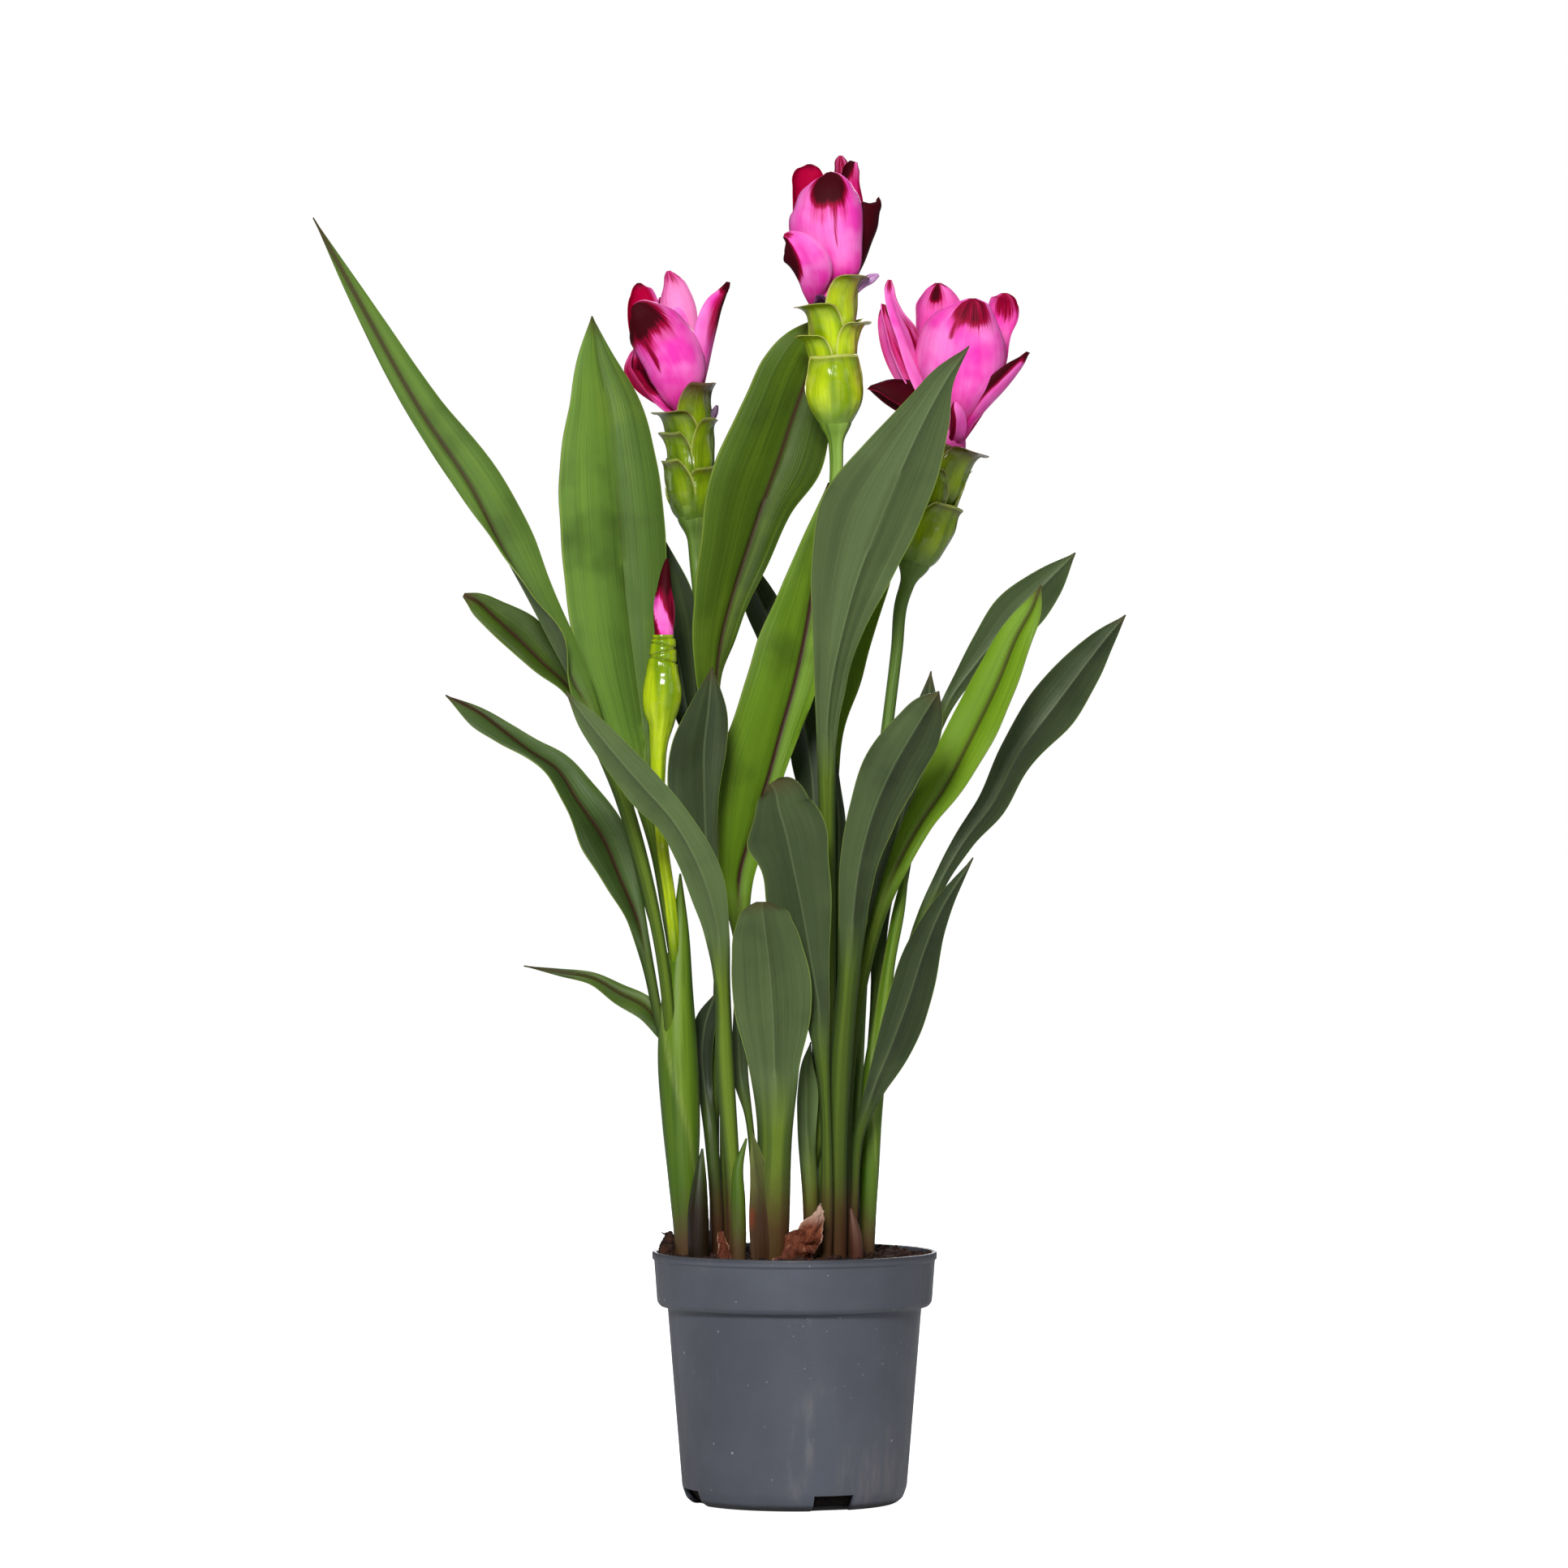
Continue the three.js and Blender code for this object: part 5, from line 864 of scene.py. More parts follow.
def lathe_shell(profile, lean, foot, values, sides=28, count=16):
    """A round body through pairs of rise and radius."""
    rises, radii = np.array(profile, float).T
    z = np.linspace(rises[0], rises[-1], count)
    radius, turn = np.interp(z, rises, radii)[:, None], turns(sides)
    rings = np.stack([radius * np.cos(turn), radius * np.sin(turn), z[:, None] + 0 * turn], axis=-1)
    return shell(tilt(rings, lean, foot), grain_map(np.linspace(0, 0.5, sides + 1), z), values)


print("a point 10 mm up a cone that leans 18 degrees:", tilt(np.array([0, 0, 10.0]), 18, 0).round(2))

# %% Cup walls
CUP_SHAPES = {
    # How far out the foot is, and the lean of the wall at even steps from foot to lip
    "low": (3.5, (47, 35, 18, 3, -5, 32)),
    "high": (8.5, (22, 12, 6, 2, 16, 104)),
    "tight": (8.5, (22, 13, 4, -1, 4, 52)),
}
CUP_SECTIONS = 22
CUP_POINTS = 21
CUP_WALL = 0.42
CUP_TOP_RISE = 75
CUP_GRAIN = 0.14


def cup_profile(kind, rise, length):
    """How far out, how high and how steep the wall of a cup is, from foot to lip."""
    start, heading = CUP_SHAPES[kind]
    t = np.linspace(0, 1, CUP_SECTIONS)
    leans = np.radians(np.interp(t, np.linspace(0, 1, len(heading)), heading))
    leans = np.convolve(np.pad(leans, 2, mode="edge"), [0.1, 0.2, 0.4, 0.2, 0.1], mode="valid")
    between, step = (leans[1:] + leans[:-1]) / 2, length / (CUP_SECTIONS - 1)
    out = start + np.concatenate([[0], np.cumsum(np.sin(between) * step)])
    up = rise + np.concatenate([[0], np.cumsum(np.cos(between) * step)])
    return t[:, None], out[:, None], up[:, None], leans[:, None, None]


print("a low cup is", cup_profile("low", 0, 41)[1].max().round(1), "mm out at most")

# %% One cup
def cup_shell(cup, lean, foot, look):
    """One bract of the cone: a thin pocket whose lip curls out and waves a little."""
    turn, rise, length, span, kind = cup
    t, out, up, leans = cup_profile(kind, rise, length)
    narrower = np.where(t < 0.5, 1, 1 - 0.45 * np.maximum(2 * t - 1, 0) ** 2)
    s = np.linspace(-1, 1, CUP_POINTS)[None, :]
    around = np.radians(turn + span * narrower * s)
    outward = np.stack([np.sin(around), -np.cos(around), 0 * around], axis=-1)
    phase = turn * 0.13 + rise
    wave = 0.5 * np.sin(3.1 * s + phase) * soft_step(t, 0.6, 1)
    seam = -0.35 * np.exp(-((s / 0.1) ** 2)) * soft_step(t, 0.1, 0.5)
    lumps = 0.55 * np.sin(up / 3.4 + 2 * phase) * np.cos(4.2 * s + phase) * soft_step(t, 0.05, 0.3)
    point = outward * (out + wave + seam + lumps)[..., None]
    point[..., 2] = up + 0.7 * wave
    face = outward * np.cos(leans)
    face[..., 2] -= np.sin(leans)[..., 0]
    thin = CUP_WALL * (1 - 0.5 * soft_step(t, 0.7, 1))[..., None]
    from_side = (1 - np.abs(s)) * math.radians(span) * out * narrower + 3 * (1 - soft_step(t, 0.2, 0.5))
    from_lip = (1 - t) * length
    near_rim = np.exp(-np.minimum(from_side, from_lip * 0.6) / 1.2)
    flat = 0 * near_rim
    both = {"rim": near_rim, "cup": flat + t, "high": flat + up / CUP_TOP_RISE, "mid": flat + np.abs(s)}
    carried = {name: round_trip(value, value) for name, value in both.items()}
    carried["inside"] = round_trip(flat, flat + 1)
    u = np.concatenate([round_trip(s, s), s[:, :1]], axis=1) * CUP_GRAIN
    rings = tilt(round_trip(point + face * thin, point - face * thin), lean, foot)
    return shell(rings, grain_map(u, t[:, 0] * length), {**carried, **look})


print("faces of a cup:", len(cup_shell((0, 0, 41, 84, "low"), 0, 0, {})["faces"]))

# %% [markdown]
# ## The green bract finish
# The bracts of the cone are glossy, yellow-green where light falls through them, darker towards
# the crown, and each lip has a pale line with brown behind it, partly painted shade. The folds
# at the foot of a cup, its inner face and the band below its lip get painted shade too. The finish
# reads how near a point is to the rim and how high it is on the cone.

# %% Green bract finish
def bract_green_finish():
    skin = Finish("green_bract_skin", 0.2, 0.5)
    rim, high, cup, inside, tone, brown = skin.values("rim high cup inside tone brown")
    fine, broad, patches = skin.grain(60.0, 3.5, 2.0), skin.grain(18.0, 1.6, 1.0), skin.cloud(70.0)
    low = mix(tone, rgb(62, 90, 4), rgb(122, 156, 6))
    top = mix(tone, rgb(104, 134, 8), rgb(200, 222, 26))
    skin.colour = mix(broad.fade(0.3, 0.62), low, top)
    skin.coat(patches.fade(0.52, 0.8, 0.0, 0.5), low)
    skin.coat(fine.fade(0.5, 0.7, 0.0, 0.35), low)
    # Painted shade in the folds at the foot of a cup and in a band below its lip
    skin.coat(cup.fade(0.4, 0.02, 0.0, 0.7), mix(tone, rgb(40, 60, 2), rgb(80, 110, 4)))
    skin.coat(cup.fade(0.58, 0.92, 0.0, 0.45), low)
    # Brown on the topmost cups, a soft brown band behind every lip that is partly the bract's own
    # brown and partly painted shade, and the lip itself pale
    top_cup = high.fade(0.62, 0.98) * brown
    skin.coat(top_cup * cup.fade(0.3, 0.95), rgb(74, 44, 30))
    skin.coat(rim.fade(0.03, 0.35) * cup.fade(0.4, 0.9) * (brown * 0.4 + 0.15), rgb(88, 66, 22))
    pale = mix(tone, rgb(150, 166, 66), rgb(214, 218, 112))
    skin.coat(rim.fade(0.42, 0.78, 0.0, 0.8), mix(top_cup, pale, rgb(132, 84, 70)))
    # Painted shade: the inner face of each cup is darker, as in its hollow
    skin.coat(inside * 0.5, rgb(70, 74, 22))
    skin.coat(high.fade(0.26, 0.02), mix(tone, rgb(78, 108, 38), rgb(132, 166, 64)))
    puckers = skin.cloud(120.0, 1.0)
    return skin.done(fine + puckers * 2.5, 0.0004, fine.fade(0.3, 0.7, 0.13, 0.25))


GREEN_BRACT_SKIN = bract_green_finish()
SCAPE_SKIN = stem_finish(
    "scape_skin", (116, 150, 50), (150, 184, 84), (52, 78, 30), (84, 58, 44), 0.128, 0.165)

# %% Make the cones
# Rise and radius of the core inside the cups, and of the stem where it widens into the cone
CONE_CORE = [(0, 4.0), (6, 7.4), (24, 9.2), (60, 7.3)]
NECK = [(-14, 3.4), (-8, 3.6), (-5, 3.9), (-2, 4.9), (1.4, 6.8), (4, 7.9), (6.5, 8.3)]


def along_cone(cone, rise):
    """The way from a cone's foot to a point that high on its axis."""
    lean = math.radians(cone["lean"])
    return rise * np.array([math.sin(lean), 0, math.cos(lean)])


for spike_name, cone in CONES.items():
    scape = numbers(cone["scape"])
    top = np.array(scape[-1][:3])
    cone["foot"] = seen(*top)
    look = dict(zip(("tone", "brown"), cone["look"]))
    parts = [lathe_shell(CONE_CORE, cone["lean"], cone["foot"], {"high": 0.2, "cup": 0.5, **look})]
    parts += [cup_shell(cup, cone["lean"], cone["foot"], look) for cup in cone["cups"]]
    made = new_object(f"cone_{spike_name}", parts)
    dress(made, GREEN_BRACT_SKIN, "green_bract", f"spike_{spike_name}_green")
    flare = [(*(top + along_cone(cone, rise)), radius) for rise, radius in NECK]
    stem = new_object(f"scape_{spike_name}", [stem_shell(scape[:-1] + flare, {"outer": cone["shade"]})])
    dress(stem, SCAPE_SKIN, "stalk")

# %% [markdown]
# ## Pink crowns
# The crown is a tuft of pink bracts, each a folded blade like a leaf. What makes a siam tulip of
# this kind is the dark blotch near each tip, with streaks that run down from it. A blotch is a
# soft box on the bract: where along it, where across it, and how dark. The boxes only say where
# it may be dark, and lengthwise noise in the finish makes their edges streaky.

# %% Pink bract finish
def bract_pink_finish():
    skin = Finish("pink_bract_skin", 0.45, 0.05)
    dark, mid, along, fold, red, pale = skin.values("dark mid along fold red pale")
    fine, broad = skin.grain(100.0, 5.0, 2.0), skin.grain(22.0, 1.6, 1.0)
    patches = skin.cloud(55.0, 2.0)
    skin.colour = mix(patches.fade(0.32, 0.68), rgb(246, 60, 184), rgb(254, 126, 212))
    skin.coat(broad.fade(0.5, 0.8, 0.0, 0.35), rgb(222, 40, 150))
    skin.coat(broad.fade(0.48, 0.2, 0.0, 0.35), rgb(252, 160, 222))
    skin.coat(fine.fade(0.54, 0.76, 0.0, 0.22), rgb(206, 30, 138))
    skin.coat(pale, rgb(252, 176, 222))
    # Deeper pink at the foot, partly the bract's own colour and partly painted shade; painted shade
    # on the inner face of a folded bract; paler at the margins
    skin.coat(along.fade(0.45, 0.04, 0.0, 0.65), rgb(216, 16, 128))
    skin.coat(mid.fade(0.7, 1.0, 0.0, 0.3), rgb(252, 150, 218))
    skin.coat(fold * 0.2, rgb(170, 8, 84))
    # Crimson places and dark blotches, both with streaky edges
    streaky = (broad - 0.5) + (fine - 0.5) * 0.75
    redness = red + streaky * red.fade(0.0, 0.3, 0.0, 0.8)
    shade = dark + streaky * dark.fade(0.0, 0.3)
    skin.coat(redness.fade(0.12, 0.8), rgb(184, 2, 60))
    skin.coat(shade.fade(0.16, 0.5), rgb(160, 6, 56))
    skin.coat(shade.fade(0.42, 0.86), rgb(64, 5, 16))
    rough = patches.fade(0.3, 0.7, 0.36, 0.5) + shade * 0.15
    return skin.done(fine + broad, 0.0002, rough)


PINK_BRACT_SKIN = bract_pink_finish()

# %% Bracts and their blotches
# Rise and radius of the core that the bracts stand on
CROWN_CORE = [(-2, 8), (6, 8.4), (14, 7.5), (26, 3)]
# Light shines through the bracts at the back, so they are paler by this share
PALER = {"back": 0.55, "left_back": 0.1}


def blotch_value(boxes, v, s):
    """How dark each point may be: each box is rounded off, and softer towards its edge."""
    dark = 0 * (v + s)
    for low, high, left, right, strength in boxes:
        along = np.abs((s - (low + high) / 2) / ((high - low) / 2))
        across = np.abs((v - (left + right) / 2) / ((right - left) / 2))
        away = (along ** 2.6 + across ** 2.6) ** (1 / 2.6)
        dark = np.maximum(dark, strength * (1 - soft_step(away, 0.62, 1.22)))
    return dark


print("dark at the edge of a box:", blotch_value(numbers("0.2 0.6 -0.5 0.5 1"), 0.0, 0.6).round(2))


def bract(name, bow, text, dark="", red=""):
    """One pink bract, with the boxes where it is dark or crimson: from and to along it, from and
    to across it, and how strong."""
    rows = blade_rows(text)
    folded = 1.0 if min(min(row[3:5]) for row in rows) < 0 else 0.0

    def values(v, s, front):
        return {
            "dark": blotch_value(numbers(dark), v, s), "red": blotch_value(numbers(red), v, s),
            "pale": PALER.get(name, 0.0) * (1 - soft_step(s, 0.85, 1.05)) + 0 * v,
            "along": s + 0 * v, "fold": folded * (1 - front),
        }

    return blade(name, rows, values, "upper", bow=bow, along_row=6, across=17, wave=0.35, edge=0.22)


def make_crown(spike_name, bracts):
    cone = CONES[spike_name]
    base = cone["foot"] + along_cone(cone, cone["crown_rise"])
    made = new_object(f"crown_{spike_name}", [lathe_shell(CROWN_CORE, 0, base, {"along": 0.3}), *bracts])
    dress(made, PINK_BRACT_SKIN, "pink_bract", f"spike_{spike_name}_pink")


# %% The middle crown
make_crown("middle", [
    bract("front", 0.2, """
        23 -9 598 3.5 3.5 1 1, 23 -15 607 6.5 7 3 3, 22.5 -21 617 12 10.5 8 7,
        21 -24 627 19.5 12.5 14 10, 20 -25 637 22.5 14 16 12, 19.5 -25 645.5 21 14 14 12,
        18.5 -24 652 17 12.5 11 9, 18 -22 657.5 11.5 9.5 7 6, 17.5 -20 660.5 6.5 6 3 3,
        17 -19 662.5 1.5
    """, dark="0.72 1.25 -0.62 0.58 1, 0.4 0.86 -0.04 0.04 0.46", red="0.58 1.3 -0.8 0.75 0.4"),
    bract("front_low", 0.16, """
        10.5 -10 596.5 3 3 1 1, 9 -17 603.5 5 6.5 3 1, 7.5 -24 611 6 11.5 5, 5.5 -29 618 7.5 12 8 -1,
        3 -31 624 9.5 9.5 9 -1, 0 -32 628 7 6.5 6, -3 -32 630.3 3.5 3.5 2 1, -5.5 -32 631 1
    """, dark="0.4 1.4 -1.7 -0.14 1, 0.9 1.2 -1.5 1.5 0.5"),
    bract("right", 0.2, """
        27 -5 599.5 4 1 -2 3, 31 -2 611 5.5 -2.5 -5 6, 34.5 -1 619 7.5 -3 -8 8, 38 0 628 9 -5 -10 10,
        41 0 636 9.5 -5.5 -10 10, 42 0 642.5 9.5 -5 -9 8, 43 0 646.5 7.5 -3 -6 5,
        42.5 0 649 3.5 -1 -2 2, 41.5 0 650 1
    """, dark="0 1.4 -1.8 1.8 1", red="0.2 1.2 -1.8 0.2 0.5"),
    bract("left_back", -0.2, """
        16 -3 599.5 3 3 -1 -1, 11.5 3 615 8 5.5 -8 -3, 9 7 631 9.5 9 -12 -5,
        7.5 8 645.5 8.5 10.5 -12 -6, 7 8 654.5 8 10.5 -10 -6, 7 7 660.5 7.5 8 -7 -5,
        7.5 6 664.5 4.5 5 -3 -2, 7.5 5 666.5 1.5
    """, dark="0.95 1.3 -1.8 1.8 0.8, 0.2 1 -1.7 -0.8 0.5", red="0.42 1.5 -1.8 1.8 0.9"),
    bract("back", -0.2, """
        21.5 -1 599.5 3.5 3.5 -1 -1, 23 7 615 7.5 7.5 -4 -4, 24.5 13 631 9.5 9 -7 -7,
        25 15 647.5 9.5 7.5 -7 -6, 24.5 15 657.5 6 6.5 -4 -5, 23.5 14 664.5 3.5 3.5 -2 -2,
        23 13 669 2.5 2.5 -1 -1, 23 13 671 1
    """, dark="0.68 1.3 -1.8 1.8 0.42, 0.6 1.1 0.1 0.6 0.5", red="0.66 1.4 -1.8 1.8 0.5"),
    bract("right_back", -0.2, """
        24 -3 599 3 3 -1 -1, 27.5 4 615 5 4.5 -3 -3, 29 7 631 7.5 5.5 -5 -6, 29 8 647.5 6.5 5 -5 -5,
        28.5 8 657.5 6 3.5 -4 -3, 28.5 7 664.5 4 3.5 -2 -2, 29.5 6 668 2
    """, dark="0.84 1.3 -1.8 0.4 1, 0.4 1.3 0.6 1.8 0.5", red="0.5 1.4 -1.8 1.8 0.5"),
    bract("behind", 0.2, """
        17.5 0 599.5 3.5 3.5 1 1, 16 9 615 9.5 9.5 -7 -7, 16 14 631 14.5 14 -13 -13,
        16 15 643.5 14 14 -12 -12, 16.5 15 652 9.5 9.5 -7 -7, 17 14 658.5 3.5 3.5 -2 -2, 17 14 660.5 1
    """, dark="0.7 1.3 -0.8 0.8 0.9"),
])

# %% The left crown
make_crown("left", [
    bract("front", 0.2, """
        -54 38 544 5 5 1 1, -56 31 552.5 10.5 9.5 5 5, -58.5 26 562.5 14 14.5 9 10,
        -62.5 23 571.5 14 17 10 13, -67.5 21 580 13.5 16 10 13, -71.5 20 586.5 13 14 9 11,
        -75.5 19 591.5 9 9.5 5 7, -79 19 594.5 5 5.5 2 3, -81 19 595.5 1.5
    """, dark="0.69 1.45 -1.7 0.85 1, 0.38 0.86 -0.4 -0.26 0.6, 0.4 0.88 0 0.12 0.56",
          red="0.56 1.3 -1.3 0.9 0.5"),
    bract("left_low", 0.2, """
        -61 42 544 3 3 -1 1, -71.5 41 549 -1 6.5 -5 6, -80.5 41 556.5 -3 9.5 -8 9,
        -84.5 41 564.5 -3 11 -8 9, -83 41 569.5 -1.5 9.5 -5 6, -81 41 573 -0.5 6 -2 3, -79.5 41 574.5 1
    """, dark="0.2 0.95 -0.3 1.2 0.7", red="0.1 1.2 -1.6 1.6 0.5"),
    bract("right", 0.2, """
        -47.5 43 551 3 1 -2 3, -43.5 41 566.5 7.5 -3 -7 8, -41.5 41 576.5 9 -4 -8 10,
        -39 41 586.5 9.5 -4 -8 9, -37 40 595 8 -2.5 -6 7, -34.5 40 601.5 5 -1 -3 3,
        -33.5 40 605.5 2.5 1 -1 1, -33 40 608 1
    """, dark="0.52 1.5 -0.34 0.4 0.8, 0.88 1.3 -1.8 1.8 0.9", red="0.4 1.5 -0.75 0.5 0.6"),
    bract("back", -0.2, """
        -55.5 46 550.5 3.5 3.5 -1 -1, -57 51 566.5 9 9 -5 -5, -58 54 582.5 10 10 -7 -7,
        -58.5 55 594 9 9.5 -6 -7, -60 55 601.5 7 8 -5 -5, -61.5 54 607.5 4 6 -2 -3,
        -62.5 54 611.5 2.5 3 -1 -1, -63 54 613.5 1
    """, dark="0.88 1.3 -1.8 1.8 0.34, 0.66 0.95 -0.52 -0.42 0.26, 0.66 0.95 0.32 0.44 0.26",
          red="0.84 1.4 -1.8 1.8 0.4"),
    bract("left_back", -0.2, """
        -58 44 549.5 3 3 -1 -1, -66 48 566.5 8 7.5 -8 -4, -72.5 50 582.5 9.5 9 -11 -6,
        -75.5 50 594 8 8 -10 -6, -76.5 49 600.5 6 7 -6 -4, -77.5 48 605 3 4.5 -3 -2, -77.5 48 607.5 1
    """, dark="0.95 1.3 -1.8 1.8 0.9, 0.3 1 -1.8 -0.9 0.5", red="0.1 1.5 -1.8 0.9 0.95"),
    bract("right_back", -0.2, """
        -52 46 549.5 3 3 -1 -1, -51 50 566.5 7.5 6 -4 -7, -52 53 578.5 7.5 5 -4 -8,
        -53 57 588.5 5.5 4.5 -3 -6, -54 59 596.5 3 3 -1 -3, -54 59 599.5 1
    """),
    bract("behind", 0.2, """
        -56 48 549.5 3, -61 57 566.5 11.5 10.5 -10 -8, -63.5 61 580.5 13 12 -14 -12,
        -65 61 591.5 9 9.5 -9 -8, -66 60 598 3.5 4 -2 -2, -66.5 60 600.5 1
    """, dark="0.7 1.3 -0.8 0.8 0.9"),
])

# %% The right crown
make_crown("right", [
    bract("front", 0.2, """
        81.5 4 532.5 3.5 3.5 1 1, 81.5 -2 541.5 7.5 6.5 3 3, 83 -9 552 17 12 11 8,
        84.5 -12 563 23.5 20 16 14, 86 -13 573.5 25 20 17 14, 87 -13 582.5 23 17.5 15 11,
        88 -12 590 18.5 13.5 10 8, 88.5 -11 595 12.5 10 6 5, 88.5 -10 598 7.5 7 2 2, 88.5 -10 599.8 2.2
    """, dark="0.78 1.16 -0.56 0.7 0.64, 0.68 0.9 -0.3 -0.2 0.38, 0.66 0.9 0.14 0.22 0.46",
          red="0.72 1.2 -0.7 0.9 0.4"),
    bract("left", -0.15, """
        79 9 531 3, 72.5 4 543 5 5 1 4, 64.5 1 557.5 5.5 5.5 2 7, 58.5 0 570.5 4.5 6.5 2 9,
        54 0 582.5 3.5 7.5 2 9, 50 1 592.5 3 4.5 1 5, 47.5 3 601 2.5 3 1 2, 47 5 606 2 2.5,
        47.5 6 609 1
    """, dark="0.2 1.3 0.45 1.5 0.42, 0.9 1.3 -1.8 1.8 0.5"),
    bract("left_out", 0.2, """
        78 12 531 1.5 1.5 -1 1, 64 13 544 -1.5 9 -5 6, 51.5 14 558 -3 12 -8 10,
        45.2 14 570.5 -3.5 12 -9 11, 42.5 14 581.5 -3 9.5 -8 9, 42.2 14 590 -1.5 6 -4 5,
        44 14 597 1 1.5
    """, dark="0.9 1.3 -1 1.6 0.6, 0 0.9 0.4 1.6 0.34", red="0.1 1.2 -0.3 1.3 0.5"),
    bract("left_back", -0.2, """
        78 14 528.5 3.5 3.5 -1 -1, 74 24 554.5 10.5 9.5 -9 -5, 71.5 28 574.5 11.5 11.5 -12 -7,
        71 28 588.5 10.5 11.5 -10 -7, 71.5 27 597 10.5 11.5 -8 -6, 71.5 26 602 7.5 8.5 -4 -4,
        71.5 25 605.5 4.5 5 -1 -1, 71.5 25 607.5 1.5
    """, dark="0.87 1.03 -0.45 0.2 0.78, 0.97 1.3 -1.8 1.8 0.9", red="0.8 1.3 -0.7 0.5 0.5"),
    bract("right_back", -0.2, """
        80.5 13 528.5 3.5 3.5 -1 -1, 91 20 554.5 9 9 -5 -6, 98.5 24 570.5 10 7.5 -6 -9,
        102 25 582.5 10 5.5 -6 -9, 103.5 24 590.5 8 7.5 -5 -9, 104 22 597 7 7 -3 -6,
        104.5 20 600.5 5 5 -1 -2, 104.5 20 602.5 1.5
    """, dark="0.8 1.3 -0.8 1.3 0.52", red="0.84 1.4 -1 1.4 0.7"),
    bract("right_low", 0.2, """
        84 7 529.5 3 1 -2 2, 90 4 538.5 6.5 -3 -6 6, 97 2 546.5 9 -5.5 -9 9,
        104.5 1 554.5 9 -6.5 -10 10, 110.5 0 562 7 -5 -8 8, 114.5 0 568 4 -2 -4 4, 116.5 0 573 1
    """, dark="-0.2 1.3 -1.8 -0.66 0.85, 0.88 1.3 -1.8 1.8 0.8"),
    bract("left_low", 0.2, """
        78 8 530 1.5 1.5 -1 1, 69 5 535.5 -2.5 8 -5 6, 60.5 3 539.5 -3 14.5 -8 10,
        52 2 543.5 -2.5 17 -8 11, 45 1 548 -2 15 -7 9, 39.8 1 552.5 -1 9.5 -4 5, 36.8 1 555.3 1 1.5
    """, dark="-0.3 1.4 -1.25 1.8 1"),
    bract("front_low", 0.15, """
        79.5 6 528.5 3, 81.5 -4 535.5 4 4 2 2, 81.5 -8 541.5 3.5 3.5 2 2, 80.5 -9 545.5 2.5 2.5 1 1,
        80 -9 548 1
    """, dark="-0.4 1.3 -1.5 -0.1 0.6"),
    bract("behind", 0.2, """
        79.5 17 528.5 3, 84 27 550.5 10.5 10.5 -8 -8, 84.5 32 566.5 14.5 14 -14 -14,
        85.5 33 580.5 13 12 -13 -13, 86 32 590 8 7.5 -7 -7, 86 31 595 3.5 3.5 -2 -2, 86 31 596.5 1
    """, dark="0.7 1.3 -0.8 0.8 0.9"),
])

# %% [markdown]
# ## Small flowers
# The true flowers of a siam tulip are small. A few dark purple ones peep out between the cups,
# and one pale lobe lies over a lip of the middle cone. They are small blades of their own.

# %% Small flowers
def floret_finish():
    skin = Finish("floret_skin", 0.4, 0.4)
    mid, pale = skin.values("mid pale")
    fine = skin.grain(140.0, 12.0, 2.0)
    deep = mix(fine.fade(0.35, 0.65), rgb(46, 14, 44), rgb(86, 34, 84))
    light = mix(fine.fade(0.35, 0.65), rgb(150, 88, 158), rgb(206, 160, 206))
    skin.colour = mix(pale, deep, light)
    skin.coat(mid.fade(0.75, 1.0, 0.0, 0.4), rgb(160, 110, 160))
    return skin.done(fine, 0.0003)


def floret(name, pale, text):
    rows = [row + [0.5, 0.5] for row in blade_rows(text)]
    return blade(name, rows, lambda v, s, front: {"pale": pale}, "upper", bow=0.2, across=9, edge=0.2)


dress(new_object("florets", [
    floret("dark_left", 0.0, "16 -10 591 1.5, 13.5 -16 597 3, 12 -20 600 3 2.5, 11 -21 601 0.8"),
    floret("dark_right", 0.0, "16 -8 591 1.5, 17 -12 595.5 2.6, 18 -15 597.5 2, 19 -16 598 0.8"),
    floret("pale", 1.0, "30 -6 603 1.5, 34 -6 607.5 2 2.5, 38.5 -6 610 2.2 2.4, 42 -6 611.6 0.8"),
    floret("left_side", 0.1, "-43.5 38 531 1, -41.5 38 539 1.8, -39.5 38 544 1.6, -38.5 38 546.5 0.6"),
]), floret_finish(), "pink_bract")

# %% [markdown]
# ## The spike in bud
# The fourth spike is still closed. Its green bulb is one swelling with creased folds above it,
# and the pink crown is rolled to a point, so both are swept stems with a little relief.

# %% The green bulb
# How high each crease is, how much it slants, and where round the neck it is highest
CREASES = [(430.4, 0.3, 0.4), (426.8, 1.3, 4.7), (423.2, 2.3, 1.57), (419.2, 1.1, 4.4)]
BUD_TONE = 0.85
BUD_BROWN = 0.5


def crease_share(turn, height):
    """1 in the creases between the folded bracts, which run slantwise round the neck."""
    aways = [height - level - slant * np.sin(turn + start) for level, slant, start in CREASES]
    return np.clip(sum(np.exp(-((away / 0.6) ** 2)) for away in aways), 0, 1)


def bulb_relief(turn, height, radius):
    """Creased folds above the bulb, and broad lobes on it."""
    folds = 0.7 * soft_step(height, 412, 417) * (1 - soft_step(height, 429, 432))
    lobes = 0.35 * np.cos(2 * turn + height / 9) * soft_step(height, 376, 394)
    return folds - 0.9 * crease_share(turn, height) + lobes


# rim browns the creases, partly the bracts' own brown and partly painted shade in them, and cup gives the
# neck the painted shade that a cup has below its lip
def bulb_values(turn, height):
    return {
        "rim": 0.4 * crease_share(turn, height), "high": 0.3, "mid": 0.5, "brown": BUD_BROWN,
        "tone": BUD_TONE * soft_step(height, 268, 292),
        "cup": 0.45 + 0.4 * soft_step(height, 410, 418),
    }


